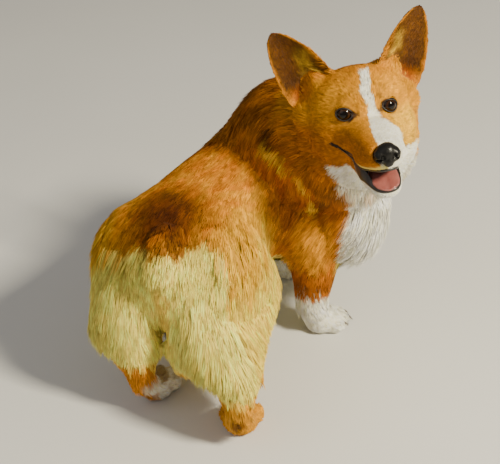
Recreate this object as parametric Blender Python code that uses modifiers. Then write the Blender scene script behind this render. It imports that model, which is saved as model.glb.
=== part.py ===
"""Pembroke Welsh corgi, life size, standing and looking back over its right shoulder.

Metres, +Z up, paws on the floor. The rump points its front at -Y, the spine curves to the dog's
right, and the head has turned far enough to look back past the flank.
"""

import math

import bmesh
import bpy
import numpy as np
from mathutils import Matrix, Vector
from mathutils.bvhtree import BVHTree

SEED = 20
GAP = 0.0003  # free space between two nodes that touch
BODY_VOXEL = 0.0036  # grain of the fused body before it is thinned
BODY_TRIANGLES = 3150
HEAD_VOXEL = 0.0024
HEAD_TRIANGLES = 1850
PAW_VOXEL = 0.0018
PAW_TRIANGLES = 280

# Spine, in the floor plane: distance forward of the hips, and heading from -Y towards -X
SPINE_KNOTS = ((-0.11, 2.0), (0.0, 8.0), (0.10, 24.0), (0.20, 54.0), (0.34, 64.0))

# Torso sections: distance, height of the middle, half width, rise above it, depth below it
TORSO = (
    (-0.100, 0.178, 0.012, 0.012, 0.014),
    (-0.088, 0.180, 0.050, 0.046, 0.040),
    (-0.050, 0.182, 0.080, 0.068, 0.058),
    (0.000, 0.184, 0.090, 0.074, 0.066),
    (0.060, 0.184, 0.084, 0.073, 0.074),
    (0.120, 0.184, 0.085, 0.082, 0.084),
    (0.180, 0.184, 0.093, 0.096, 0.090),
    (0.230, 0.182, 0.092, 0.096, 0.094),
    (0.280, 0.176, 0.076, 0.078, 0.086),
    (0.316, 0.168, 0.052, 0.052, 0.062),
    (0.334, 0.164, 0.014, 0.014, 0.018),
)
TORSO_SIDES = 40

# Forelegs: where the paws stand, and the point of the spine between the shoulders
PAW_RIGHT = Vector((-0.138, -0.108, 0.0))
PAW_LEFT = Vector((-0.068, -0.226, 0.0))
SHOULDER_S = 0.195

# Hind feet: heel places on the floor, found from the photograph
HEEL_RIGHT = Vector((-0.089, 0.132, 0.0))
HEEL_LEFT = Vector((0.038, 0.086, 0.0))
HIP_HALF = 0.056
HOCK_HEIGHT = 0.078
HIND_FEET_HEADING = {-1: -10.0, 1: 4.0}
SKIRT_OUT = {-1: -0.001, 1: 0.021}  # how far the hair above each hock stands out
SHIN_OUT = {-1: -0.011, 1: 0.006}

# Toes of a paw: out to the side, ahead of the paw's middle, size; and claws: out, ahead
TOES = ((-0.0185, 0.012, 0.0105), (-0.0068, 0.021, 0.0112), (0.0068, 0.021, 0.0112),
        (0.0185, 0.012, 0.0105))
CLAWS = ((-0.0185, 0.022), (-0.0068, 0.033), (0.0068, 0.033), (0.0185, 0.022))

# Levels and slopes of the planes that divide the body and the legs
HOCK_CUT = 0.084
HOCK_LEAN = 0.62
HIND_PAW_CUT = 0.034
ELBOW_CUT = 0.112
CHEST_CUT = 0.125
NECK_HEADING = 80.0
NECK_LEAN = 0.55
FRONT_PAW_CUT = 0.036

# Head: middle of the line between the eyes, and where the muzzle points
EYES_MIDDLE = Vector((-0.220, -0.035, 0.365))
HEAD_HEADING = 158.0
HEAD_PITCH = 12.0
HEAD_ROLL = 4.0
HEAD_SCALE = 0.92

# In the head's own directions, before HEAD_SCALE: left, forward, up
EYE = Vector((0.0270, -0.0095, -0.0005))
EYE_RADIUS = 0.0112
EYE_TURN = 16.0
LID_THICK = 0.0022
LID_OPEN = (0.0104, 0.0074)
EAR_BASE = Vector((0.058, -0.062, 0.016))
EAR_TIP = Vector((0.094, -0.062, 0.100))
EAR_OUTLINE = ((-0.25, 0.020), (-0.1, 0.028), (0.0, 0.0318), (0.25, 0.0295), (0.5, 0.0258), (0.7, 0.0215),
               (0.85, 0.0158), (0.94, 0.0100), (0.985, 0.0050), (1.0, 0.0016))
EAR_WIDER = {-1: (1.36, 1.00), 1: (1.22, 1.18)}  # how the inner and outer half of it spread
NOSE = Vector((0.0, 0.0785, -0.0335))

# Forms of the head: place and radii; the paired ones are given for the left side
SINGLE_FORMS = {
    "skull": ((0.0, -0.056, -0.004), (0.064, 0.060, 0.050)),
    "forehead": ((0.0, -0.030, 0.008), (0.044, 0.035, 0.028)),
    "nape": ((0.0, -0.084, -0.022), (0.068, 0.052, 0.060)),
    "muzzle_base": ((0.0, -0.006, -0.034), (0.046, 0.034, 0.028)),
}
PAIRED_FORMS = {
    "cheek": ((0.033, -0.046, -0.036), (0.035, 0.046, 0.038)),
    "under_eye": ((0.026, -0.016, -0.030), (0.022, 0.024, 0.024)),
    "ear_root": ((0.058, -0.076, -0.012), (0.022, 0.024, 0.027)),
    "ear_base": ((0.042, -0.070, 0.028), (0.022, 0.022, 0.020)),
    "temple": ((0.058, -0.068, -0.014), (0.024, 0.026, 0.026)),
    "collar": ((0.040, -0.080, -0.046), (0.042, 0.042, 0.046)),
    "brow": ((0.022, -0.010, 0.009), (0.014, 0.013, 0.008)),
    "flews": ((0.0185, 0.036, -0.045), (0.0140, 0.032, 0.0150)),
}

# Sections along the head's forward direction: place, height, half width, rise, depth
MUZZLE = ((-0.036, -0.026, 0.050, 0.022, 0.034), (-0.008, -0.028, 0.0415, 0.0225, 0.026),
          (0.018, -0.031, 0.0340, 0.0215, 0.026), (0.042, -0.0345, 0.0295, 0.0190, 0.025),
          (0.064, -0.0375, 0.0265, 0.0175, 0.022), (0.081, -0.0385, 0.0185, 0.0115, 0.016))
LOWER_JAW = ((-0.036, -0.058, 0.036, 0.024, 0.020), (-0.004, -0.063, 0.030, 0.020, 0.020),
             (0.024, -0.073, 0.0265, 0.020, 0.019), (0.044, -0.0805, 0.0225, 0.018, 0.0165),
             (0.058, -0.084, 0.0180, 0.015, 0.013), (0.067, -0.085, 0.0100, 0.009, 0.008))
TONGUE = ((0.010, -0.0545, 0.0060, 0.0016, 0.0020), (0.018, -0.0580, 0.0130, 0.0034, 0.0050),
          (0.032, -0.0655, 0.0165, 0.0040, 0.0060), (0.046, -0.0725, 0.0175, 0.0042, 0.0060),
          (0.057, -0.0780, 0.0160, 0.0038, 0.0060), (0.0645, -0.0812, 0.0110, 0.0028, 0.0045),
          (0.068, -0.0825, 0.0040, 0.0014, 0.0020))

# The open mouth: place forward, height of the upper lip, opening in the middle
MOUTH = ((-0.006, -0.0365, 0.0008), (0.004, -0.0400, 0.0030), (0.012, -0.0455, 0.0070),
         (0.024, -0.0525, 0.0130), (0.036, -0.0565, 0.0190), (0.048, -0.0578, 0.0235),
         (0.060, -0.0575, 0.0270), (0.070, -0.0558, 0.0285), (0.080, -0.0540, 0.0300),
         (0.100, -0.0530, 0.0340))
MOUTH_HALF = 0.050
LIP_HALF = 0.034  # where the lower lip has risen towards the corners of the mouth

# Nose leather and nostrils, from NOSE: place and radii; wings and nostrils for the left side
NOSE_PADS = (((0.0, 0.0, 0.0018), (0.0131, 0.0116, 0.0120)),
             ((0.0, 0.0044, -0.0072), (0.0074, 0.0066, 0.0087)))
NOSE_WING = ((0.0089, 0.0011, -0.0012), (0.0075, 0.0101, 0.0094))
NOSTRIL = (((0.0069, 0.0116, -0.0022), (0.0035, 0.0055, 0.0043)),
           ((0.0128, 0.0077, -0.0048), (0.0050, 0.0055, 0.0019)))

# Locks of the long coat: rows of them, bottom row longest
BREECHES_ROWS = ((0.074, 8, 0.040), (0.096, 7, 0.044), (0.122, 6, 0.046), (0.150, 5, 0.044),
                 (0.178, 4, 0.040))
BIB_ROWS = ((0.112, 5, 0.040), (0.138, 6, 0.042), (0.166, 5, 0.042))
RUFF_ROWS = ((0.036, 11, 0.040), (0.064, 9, 0.040))
LOCK_WIDE = 0.0185
LOCK_THICK = 0.0050
LOCK_LIFT = 0.0034
LOCK_CLEAR = 0.0022


FINISHES = {
    "coat_red": ((0.42, 0.16, 0.05), 0.8),
    "coat_gold": ((0.55, 0.29, 0.10), 0.8),
    "coat_cream": ((0.72, 0.57, 0.34), 0.8),
    "coat_white": ((0.85, 0.82, 0.74), 0.8),
    "nose_black": ((0.02, 0.018, 0.017), 0.35),
    "eye_brown": ((0.05, 0.02, 0.008), 0.1),
    "tongue_pink": ((0.62, 0.22, 0.22), 0.4),
}
NODE_FINISH = {
    "torso": "coat_red", "chest": "coat_gold", "tail": "coat_red", "neck": "coat_gold", "head": "coat_gold",
    "ear": "coat_gold", "thigh": "coat_cream", "pastern_rear": "coat_gold",
    "paw_rear": "coat_cream", "upper_arm": "coat_gold", "forearm": "coat_gold",
    "paw_front": "coat_white", "nose": "nose_black", "eye": "eye_brown", "tongue": "tongue_pink",
}


def facing(heading):
    """Level forward and left directions for a heading in degrees from -Y towards -X."""
    turn = math.radians(heading)
    forward = Vector((-math.sin(turn), -math.cos(turn), 0.0))
    return forward, Vector((-forward.y, forward.x, 0.0))


def smooth_table(knots, count):
    """Rows of a table, resampled to count rows on a Catmull-Rom curve through them."""
    rows = np.array(knots, float)
    padded = np.vstack([2 * rows[0] - rows[1], rows, 2 * rows[-1] - rows[-2]])
    place = np.linspace(0, len(rows) - 1, count)
    piece = np.minimum(place.astype(int), len(rows) - 2)
    t = (place - piece)[:, None]
    p0, p1, p2, p3 = (padded[piece + k] for k in range(4))
    return 0.5 * (2 * p1 + (p2 - p0) * t + (2 * p0 - 5 * p1 + 4 * p2 - p3) * t**2
                  + (3 * p1 - p0 - 3 * p2 + p3) * t**3)


def spine(distance):
    """Place on the floor plane and heading at a distance forward of the hips."""
    knots = np.array(SPINE_KNOTS)
    steps = np.linspace(0.0, distance, 60)
    turns = np.radians(np.interp(steps, knots[:, 0], knots[:, 1]))
    middle = (turns[1:] + turns[:-1]) / 2
    step = distance / 59
    x = -np.sum(np.sin(middle)) * step
    y = -np.sum(np.cos(middle)) * step
    return Vector((x, y, 0.0)), math.degrees(turns[-1])


def mesh_object(name, points, faces):
    """A new object from points and faces, in the scene."""
    mesh = bpy.data.meshes.new(name)
    mesh.from_pydata([tuple(p) for p in points], [], faces)
    mesh.update()
    made = bpy.data.objects.new(name, mesh)
    bpy.context.scene.collection.objects.link(made)
    return made


def loft(name, rings):
    """A closed solid through rings of equal point count, each end closed on its middle."""
    rings = np.array(rings, float)
    count, sides = rings.shape[:2]
    points = list(rings.reshape(-1, 3))
    points += [rings[0].mean(0), rings[-1].mean(0)]
    faces = []
    for i in range(count - 1):
        for j in range(sides):
            k = (j + 1) % sides
            faces.append((i * sides + j, i * sides + k, (i + 1) * sides + k, (i + 1) * sides + j))
    for j in range(sides):
        k = (j + 1) % sides
        faces.append((count * sides, k, j))
        faces.append((count * sides + 1, (count - 1) * sides + j, (count - 1) * sides + k))
    made = mesh_object(name, points, faces)
    face_out(made)
    return made


def face_out(obj):
    """Turn the faces of a closed mesh to point outwards."""
    mesh = bmesh.new()
    mesh.from_mesh(obj.data)
    bmesh.ops.recalc_face_normals(mesh, faces=mesh.faces)
    if mesh.calc_volume(signed=True) < 0:
        bmesh.ops.reverse_faces(mesh, faces=mesh.faces)
    mesh.to_mesh(obj.data)
    mesh.free()


def section(centre, across, upward, half, rise, depth, sides, power=2.2):
    """One ring of a body: a rounded oval with its own rise above and depth below the centre."""
    turn = np.linspace(0, 2 * math.pi, sides, endpoint=False)
    cos, sin = np.cos(turn), np.sin(turn)
    side = np.sign(cos) * np.abs(cos) ** (2 / power) * half
    height = np.sign(sin) * np.abs(sin) ** (2 / power)
    height = np.where(height > 0, height * rise, height * depth)
    return np.array(centre) + side[:, None] * np.array(across) + height[:, None] * np.array(upward)


def blob(name, centre, radii, turn=None, segments=24):
    """An oval ball. turn is a rotation whose columns are its three axes."""
    mesh = bmesh.new()
    bmesh.ops.create_uvsphere(mesh, u_segments=segments, v_segments=segments // 2, radius=1.0)
    frame = (turn.to_4x4() if turn else Matrix.Identity(4)) @ Matrix.Diagonal((*radii, 1.0))
    bmesh.ops.transform(mesh, matrix=Matrix.Translation(centre) @ frame, verts=mesh.verts)
    if frame.determinant() < 0:
        bmesh.ops.reverse_faces(mesh, faces=mesh.faces)
    data = bpy.data.meshes.new(name)
    mesh.to_mesh(data)
    mesh.free()
    made = bpy.data.objects.new(name, data)
    bpy.context.scene.collection.objects.link(made)
    return made


def limb(name, path, radii, sides=20, steps=16):
    """A tapering limb: a tube through the points of path, with a radius at each of them."""
    rows = smooth_table([(*p, r) for p, r in zip(path, radii)], steps)
    centres = rows[:, :3]
    along = np.gradient(centres, axis=0)
    along /= np.linalg.norm(along, axis=1)[:, None]
    rings = []
    for centre, axis, radius in zip(centres, along, rows[:, 3]):
        across = np.cross(axis, (0.3, 1.0, 0.05))
        across /= np.linalg.norm(across)
        other = np.cross(axis, across)
        rings.append(section(centre, across, other, radius, radius, radius, sides, 2.0))
    ends = []
    for ring, axis, radius, sign in ((rings[0], along[0], rows[0, 3], -1),
                                     (rings[-1], along[-1], rows[-1, 3], 1)):
        middle = ring.mean(0)
        ends.append([middle + (ring - middle) * math.cos(a) + sign * axis * radius * math.sin(a)
                     for a in (math.pi / 8, math.pi / 4, math.pi * 3 / 8)])
    return loft(name, ends[0][::-1] + rings + ends[1])


def head_frame():
    """Columns: the head's left, its forward and its up."""
    level, left = facing(HEAD_HEADING)
    pitch = math.radians(HEAD_PITCH)
    forward = level * math.cos(pitch) + Vector((0, 0, 1)) * math.sin(pitch)
    left = Matrix.Rotation(math.radians(HEAD_ROLL), 3, forward) @ left
    up = left.cross(forward) * -1.0
    if up.z < 0:
        up = -up
    return Matrix((left, forward, up)).transposed()


def head_point(left, forward, up):
    """A point given in the head's own directions, from the middle of the eyes."""
    return EYES_MIDDLE + head_frame() @ (Vector((left, forward, up)) * HEAD_SCALE)


def torso_forms():
    """The trunk, from the rump to the front of the chest."""
    rows = smooth_table(TORSO, 44)
    rings = []
    for distance, height, half, rise, depth in rows:
        place, heading = spine(distance)
        _, left = facing(heading)
        centre = (place.x, place.y, height)
        rings.append(section(centre, left, (0, 0, 1), half, rise, depth, TORSO_SIDES))
    return [loft("trunk", rings)]


def hind_leg_forms(side, heel):
    """Haunch, thigh, rear pastern and paw of one hind leg. side is -1 on the right."""
    hip, heading = spine(0.0)
    forward, left = facing(heading)
    up = Vector((0, 0, 1))

    def at(ahead, out, height):
        return hip + forward * ahead + left * out * side + up * height

    hock = heel + up * HOCK_HEIGHT + Vector((side * 0.004, 0.008, 0.0))
    knee = at(0.030, HIP_HALF + 0.014, 0.128)
    shin = (knee + hock) / 2 + left * side * SHIN_OUT[side] + up * 0.002
    rear = at(-0.066, HIP_HALF - 0.010, 0.140)
    skirt = heel + left * SKIRT_OUT[side] * side + up * 0.092 + forward * 0.006
    return [
        blob("haunch", at(-0.012, HIP_HALF, 0.170), (0.053, 0.078, 0.076)),
        blob("breeches", rear, (0.046, 0.044, 0.064)),
        blob("tuft", at(-0.074, HIP_HALF - 0.002, 0.112), (0.042, 0.036, 0.046)),
        blob("fringe", at(-0.082, HIP_HALF - 0.024, 0.100), (0.029, 0.032, 0.044)),
        blob("skirt", skirt, (0.030, 0.030, 0.036)),
        limb("curtain", [rear, (rear + skirt) / 2 + up * 0.006, skirt], [0.043, 0.041, 0.030]),
        limb("thigh", [at(0.0, HIP_HALF, 0.165), knee, shin, hock],
             [0.052, 0.042, 0.041, 0.024]),
        limb("pastern", [hock, (hock + heel) / 2 + up * 0.01, heel + up * 0.018 + forward * 0.012],
             [0.0205, 0.0185, 0.0185]),
    ]


def foreleg_forms(side):
    """Shoulder and forearm of one foreleg. side is -1 on the right."""
    middle, heading = spine(SHOULDER_S)
    forward, left = facing(heading)
    foot, _, _ = front_paw_place(side)
    shoulder = middle + forward * 0.020 + left * side * 0.046 + Vector((0, 0, 0.165))
    wrist = foot - forward * 0.012
    elbow = wrist * 0.92 + middle * 0.08 + forward * 0.008
    elbow.z = 0.118
    return [
        blob("shoulder", shoulder, (0.050, 0.050, 0.070)),
        limb("forearm", [elbow + Vector((0, 0, 0.030)), elbow - Vector((0, 0, 0.015)),
                         wrist * 0.9 + elbow * 0.1 + Vector((0, 0, 0.044)),
                         wrist + Vector((0, 0, 0.018))],
             [0.046, 0.035, 0.0245, 0.0220]),
    ]


def front_paw_place(side):
    """Where a front paw stands, and its forward and left directions."""
    _, heading = spine(SHOULDER_S)
    forward, left = facing(heading - 6.0 * side)
    return (PAW_RIGHT if side < 0 else PAW_LEFT) + forward * 0.006, forward, left


def hind_paw_place(side):
    """Where a hind paw stands, and its forward and left directions."""
    forward, left = facing(HIND_FEET_HEADING[side])
    heel = HEEL_RIGHT if side < 0 else HEEL_LEFT
    return heel + forward * 0.030, forward, left


def paw_forms(middle, forward, left):
    """A paw: a low pad and four toes, the middle two reaching further."""
    forms = [blob("pad", middle + Vector((0, 0, 0.016)), (0.023, 0.025, 0.019))]
    axes = Matrix((left, forward, Vector((0, 0, 1)))).transposed()
    for out, reach, size in TOES:
        place = middle + forward * reach + left * out + Vector((0, 0, 0.0115))
        forms.append(blob("toe", place, (size * 0.86, size * 1.35, size * 1.1), axes, 16))
    return forms


def neck_forms():
    """The neck, rising from the shoulders and turning with the head, and the bib under it."""
    base, _ = spine(0.205)
    path = [base + Vector((0, 0, 0.190)), base + Vector((-0.020, 0.012, 0.250)),
            head_point(0.0, -0.085, -0.062), head_point(0.0, -0.062, -0.022)]
    return [limb("neck", path, [0.092, 0.090, 0.075, 0.052], 28, 20),
            blob("withers", base + Vector((0.016, 0.0, 0.226)), (0.075, 0.075, 0.068)),
            blob("bib", Vector((-0.182, -0.136, 0.190)), (0.054, 0.060, 0.088))]


def head_forms():
    """Skull, cheeks, brows, muzzle and lower jaw."""
    axes = head_frame()
    forms = []

    def put(name, place, radii):
        forms.append(blob(name, head_point(*place), tuple(r * HEAD_SCALE for r in radii), axes))

    for name, (place, radii) in SINGLE_FORMS.items():
        put(name, place, radii)
    for name, ((out, ahead, height), radii) in PAIRED_FORMS.items():
        for side in (-1, 1):
            put(name, (side * out, ahead, height), radii)
    forms.append(head_loft("muzzle", MUZZLE, 24))
    forms.append(head_loft("lower_jaw", LOWER_JAW, 20))
    return forms


def head_loft(name, rows, sides, rings_per_row=3):
    """A loft along the head's forward direction: place, height, half width, rise and depth."""
    axes = head_frame()
    left, forward, up = (np.array(axes.col[k]) for k in range(3))
    rings = []
    for ahead, height, half, rise, depth in smooth_table(rows, rings_per_row * len(rows)):
        centre = np.array(head_point(0.0, ahead, height))
        size = HEAD_SCALE
        rings.append(section(centre, left, up, half * size, rise * size, depth * size, sides, 2.4))
    return loft(name, rings)


def paw(name, place):
    """A finished paw with its claws, before it is cut from its leg."""
    middle, forward, left = place
    forms = paw_forms(middle, forward, left)
    forms.append(limb("wrist", [middle - forward * 0.012 + Vector((0, 0, 0.066)),
                                middle - forward * 0.010 + Vector((0, 0, 0.040)),
                                middle - forward * 0.004 + Vector((0, 0, 0.018))],
                      [0.0215, 0.0215, 0.0200], 20, 8))
    for out, reach in CLAWS:
        root = middle + forward * reach + left * out + Vector((0, 0, 0.012))
        tip = root + forward * 0.0095 + Vector((0, 0, -0.0065))
        forms.append(limb("claw", [root, (root + tip) / 2 + Vector((0, 0, 0.001)), tip],
                          [0.0032, 0.0027, 0.0014], 8, 5))
    made = fused(name, forms, PAW_VOXEL)
    smooth(made, 3)
    thin(made, PAW_TRIANGLES)
    return made


def fused(name, forms, voxel):
    """All forms as one closed surface: joined, then remeshed at one grain."""
    made = joined(name, forms)
    remesh = made.modifiers.new("grain", "REMESH")
    remesh.mode = "VOXEL"
    remesh.voxel_size = voxel
    settle(made)
    return made


def joined(name, forms):
    """One object holding every form's faces; the forms are removed."""
    whole = bmesh.new()
    for form in forms:
        whole.from_mesh(form.data)
    for form in forms:
        bpy.data.objects.remove(form)
    data = bpy.data.meshes.new(name)
    whole.to_mesh(data)
    whole.free()
    made = bpy.data.objects.new(name, data)
    bpy.context.scene.collection.objects.link(made)
    return made


def smooth(obj, times):
    """Soften a surface."""
    soften = obj.modifiers.new("soften", "SMOOTH")
    soften.factor = 0.5
    soften.iterations = times
    settle(obj)


def thin(obj, triangles):
    """Thin a surface down to a number of triangles."""
    obj.data.calc_loop_triangles()
    fewer = obj.modifiers.new("fewer", "DECIMATE")
    fewer.ratio = min(1.0, triangles / len(obj.data.loop_triangles))
    fewer.use_collapse_triangulate = True
    settle(obj)


def settle(obj):
    """Replace an object's mesh by what its modifiers make of it."""
    graph = bpy.context.evaluated_depsgraph_get()
    made = bpy.data.meshes.new_from_object(obj.evaluated_get(graph))
    old = obj.data
    obj.modifiers.clear()
    obj.data = made
    bpy.data.meshes.remove(old)


def copy_of(obj, name):
    """A separate copy of an object."""
    made = bpy.data.objects.new(name, obj.data.copy())
    bpy.context.scene.collection.objects.link(made)
    return made


def combine(obj, others, operation):
    """One Boolean of obj with closed meshes, which are removed afterwards."""
    group = bpy.data.collections.new("others")
    for other in others:
        group.objects.link(other)
    cut = obj.modifiers.new(operation.lower(), "BOOLEAN")
    cut.operation = operation
    cut.solver = "MANIFOLD"
    cut.operand_type = "COLLECTION"
    cut.collection = group
    settle(obj)
    for other in others:
        bpy.data.objects.remove(other)
    bpy.data.collections.remove(group)
    keep_largest(obj)


def keep_largest(obj):
    """Drop every closed surface of a mesh but the one with the greatest volume."""
    mesh = bmesh.new()
    mesh.from_mesh(obj.data)
    bmesh.ops.triangulate(mesh, faces=mesh.faces)
    mesh.faces.ensure_lookup_table()
    seen = set()
    bodies = []
    for start in mesh.faces:
        if start.index in seen:
            continue
        body, edge = [], [start]
        seen.add(start.index)
        while edge:
            face = edge.pop()
            body.append(face)
            for side in face.edges:
                for near in side.link_faces:
                    if near.index not in seen:
                        seen.add(near.index)
                        edge.append(near)
        volume = sum(f.verts[0].co.dot(f.verts[1].co.cross(f.verts[2].co)) for f in body)
        bodies.append((abs(volume), body))
    bodies.sort(key=lambda item: -item[0])
    lesser = [face for _, body in bodies[1:] for face in body]
    bmesh.ops.delete(mesh, geom=lesser, context="FACES")
    mesh.to_mesh(obj.data)
    mesh.free()


def halfspace(point, normal, reach=0.6):
    """A great box whose one face passes through point, on the side normal points to."""
    normal = Vector(normal).normalized()
    turn = normal.to_track_quat("Z", "Y").to_matrix().to_4x4()
    mesh = bmesh.new()
    bmesh.ops.create_cube(mesh, size=1.0)
    shift = Matrix.Translation(Vector(point) + normal * reach / 2)
    bmesh.ops.transform(mesh, matrix=shift @ turn @ Matrix.Diagonal((reach * 2, reach * 2, reach, 1)),
                        verts=mesh.verts)
    data = bpy.data.meshes.new("half")
    mesh.to_mesh(data)
    mesh.free()
    made = bpy.data.objects.new("half", data)
    bpy.context.scene.collection.objects.link(made)
    return made


def parted(obj, point, normal, above, below):
    """Divide obj by a plane into two nodes that leave GAP between them."""
    normal = Vector(normal).normalized()
    upper, lower = copy_of(obj, "above"), copy_of(obj, "below")
    bpy.data.objects.remove(obj)
    upper.name = above
    lower.name = below
    combine(upper, [halfspace(Vector(point) + normal * GAP / 2, normal)], "INTERSECT")
    combine(lower, [halfspace(Vector(point) - normal * GAP / 2, -normal)], "INTERSECT")
    return upper, lower


def hull(name, points):
    """The convex solid round a set of points."""
    mesh = bmesh.new()
    for point in points:
        mesh.verts.new(point)
    made = bmesh.ops.convex_hull(mesh, input=mesh.verts)
    waste = [e for e in made["geom_interior"] if isinstance(e, bmesh.types.BMVert)]
    bmesh.ops.delete(mesh, geom=waste, context="VERTS")
    bmesh.ops.recalc_face_normals(mesh, faces=mesh.faces)
    data = bpy.data.meshes.new(name)
    mesh.to_mesh(data)
    mesh.free()
    obj = bpy.data.objects.new(name, data)
    bpy.context.scene.collection.objects.link(obj)
    return obj


def leg_region(egg_centre, egg_radii, turn, foot, foot_half, grow):
    """The convex space a leg takes up: an egg round its top and a box round its foot."""
    egg = blob("egg", egg_centre, tuple(r + grow for r in egg_radii), turn, 20)
    points = [vertex.co.copy() for vertex in egg.data.vertices]
    bpy.data.objects.remove(egg)
    for x in (-1, 1):
        for y in (-1, 1):
            for z in (-0.03, 0.07):
                corner = Vector((x * (foot_half + grow), y * (foot_half + grow), 0.0))
                points.append(foot + turn @ corner + Vector((0, 0, z)))
    return hull("region", points)


def take_leg(body, region, name):
    """Cut a leg out of the body. region(grow) makes the cutter."""
    leg = copy_of(body, name)
    combine(leg, [region(-GAP / 2)], "INTERSECT")
    combine(body, [region(GAP / 2)], "DIFFERENCE")
    return leg


def hind_region(side):
    """The cutter for a hind leg, as a function of how much it is grown."""
    hip, heading = spine(-0.01)
    forward, left = facing(heading - 4.0)
    turn = Matrix((left, forward, Vector((0, 0, 1)))).transposed()
    centre = hip - forward * 0.040 + left * side * (HIP_HALF + 0.034) + Vector((0, 0, 0.116))
    foot = HEEL_RIGHT if side < 0 else HEEL_LEFT

    def region(grow):
        return leg_region(centre, (0.082, 0.100, 0.112), turn, foot, 0.034, grow)

    return region


def fore_region(side):
    """The cutter for a foreleg, as a function of how much it is grown."""
    middle, heading = spine(SHOULDER_S)
    forward, left = facing(heading)
    turn = Matrix((left, forward, Vector((0, 0, 1)))).transposed()
    foot = front_paw_place(side)[0] - forward * 0.012
    centre = foot * 0.7 + middle * 0.3 + left * side * 0.036 + Vector((0, 0, 0.142))

    def region(grow):
        return leg_region(centre, (0.050, 0.054, 0.076), turn, foot, 0.036, grow)

    return region


def body_nodes():
    """Torso, chest, neck and the upper and lower parts of the four legs."""
    forms = torso_forms() + neck_forms() + head_forms()
    forms.append(blob("rear", Vector((0.012, 0.070, 0.200)), (0.045, 0.035, 0.045)))
    forms += hind_leg_forms(-1, HEEL_RIGHT) + hind_leg_forms(1, HEEL_LEFT)
    forms += foreleg_forms(-1) + foreleg_forms(1)
    body = fused("torso", forms, BODY_VOXEL)
    smooth(body, 14)
    thin(body, BODY_TRIANGLES)
    up = Vector((0, 0, 1))
    for side, word in ((-1, "right"), (1, "left")):
        leg = take_leg(body, hind_region(side), "thigh_" + word)
        heel = HEEL_RIGHT if side < 0 else HEEL_LEFT
        ahead, _ = facing(8.0)
        upper, lower = parted(leg, heel + up * HOCK_CUT, up + ahead * HOCK_LEAN,
                              "thigh_" + word, "pastern_rear_" + word)
        divide_foot(lower, hind_paw_place(side), HIND_PAW_CUT, "paw_rear_" + word)
        leg = take_leg(body, fore_region(side), "upper_arm_" + word)
        upper, lower = parted(leg, up * ELBOW_CUT, up, "upper_arm_" + word, "forearm_" + word)
        divide_foot(lower, front_paw_place(side), FRONT_PAW_CUT, "paw_front_" + word)
    base, _ = spine(0.215)
    ahead, _ = facing(NECK_HEADING)
    neck, trunk = parted(body, base + up * 0.252, up + ahead * NECK_LEAN, "neck", "trunk")
    waist, heading = spine(CHEST_CUT)
    parted(trunk, waist, facing(heading)[0], "chest", "torso")
    return neck


def divide_foot(lower, place, level, name):
    """Cut a leg off at a level above the floor, and set a paw under it."""
    up = Vector((0, 0, 1))
    combine(lower, [halfspace(up * (level + GAP / 2), up)], "INTERSECT")
    foot = paw(name, place)
    combine(foot, [halfspace(up * (level - GAP / 2), -up)], "INTERSECT")
    combine(foot, [halfspace(up * 0.0008, up)], "INTERSECT")
    return foot


def head_cut():
    """The plane between head and neck: a point and the direction of the head."""
    axes = head_frame()
    return head_point(0, -0.088, 0.0), axes @ Vector((0.0, 0.86, 0.51))


def ear(side, name):
    """A pricked ear: a cup of even thickness, open to the front, rounded at the tip."""
    across = 11
    base = Vector((EAR_BASE.x * side, EAR_BASE.y, EAR_BASE.z))
    tip = Vector((EAR_TIP.x * side, EAR_TIP.y, EAR_TIP.z))
    axis = tip - base
    face = Vector((side * 0.34, 0.94, 0.0)).normalized()
    wide = axis.cross(face).normalized()
    if wide.x * side < 0:
        wide = -wide
    outline = np.array(EAR_OUTLINE)
    heights = np.concatenate([np.linspace(-0.25, 0.80, 9), [0.88, 0.94, 0.98, 1.0]])
    rings = []
    for v in heights:
        half = float(np.interp(v, outline[:, 0], outline[:, 1]))
        cup = 0.017 * (1.0 - 0.55 * max(0.0, v)) * (half / 0.030)
        thick = 0.0056 - 0.0028 * max(0.0, v)
        spread = 1.0 - 0.65 * max(0.0, v - 0.5) / 0.5
        inner, outer = [], []
        for j in range(across):
            u = -1.0 + 2.0 * j / (across - 1)
            depth = cup * (1.0 - u * u)
            wider = 1.0 + (EAR_WIDER[side][0 if u < 0 else 1] - 1.0) * spread
            middle = base + axis * v + wide * half * wider * u
            edge = 0.5 * thick * (0.30 + 0.70 * (1.0 - abs(u) ** 4))
            inner.append(middle - face * (depth - edge))
            outer.append(middle - face * (depth + edge))
        rings.append(inner + outer[::-1])
    axes = head_frame()
    rings = [[EYES_MIDDLE + axes @ (point * HEAD_SCALE) for point in ring] for ring in rings]
    return loft(name, [[tuple(p) for p in ring] for ring in rings])


def nose(name):
    """The nose leather: a rounded pad with two wings and two comma-shaped nostrils."""
    axes = head_frame()
    forms = []

    def put(place, radii):
        centre = NOSE + Vector(place)
        forms.append(blob("part", head_point(*centre), tuple(r * HEAD_SCALE for r in radii), axes, 20))

    for place, radii in NOSE_PADS:
        put(place, radii)
    for side in (-1, 1):
        out, ahead, height = NOSE_WING[0]
        put((side * out, ahead, height), NOSE_WING[1])
    made = fused(name, forms, 0.0011)
    smooth(made, 4)
    thin(made, 260)
    for side in (-1, 1):
        for (out, ahead, height), radii in NOSTRIL:
            centre = head_point(*(NOSE + Vector((side * out, ahead, height))))
            hole = blob("hole", centre, tuple(r * HEAD_SCALE for r in radii), axes, 10)
            combine(made, [hole], "DIFFERENCE")
    return made


def eye_frame(side):
    """The axes of an eye: across, along the gaze, up."""
    axes = head_frame()
    left, forward, up = axes.col[0], axes.col[1], axes.col[2]
    gaze = (forward + left * math.tan(math.radians(EYE_TURN)) * side).normalized()
    across = (left - gaze * left.dot(gaze)).normalized()
    return Matrix((across, gaze, up)).transposed()


def eye_place(side):
    """The middle of an eyeball."""
    return head_point(EYE.x * side, EYE.y, EYE.z)


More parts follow.
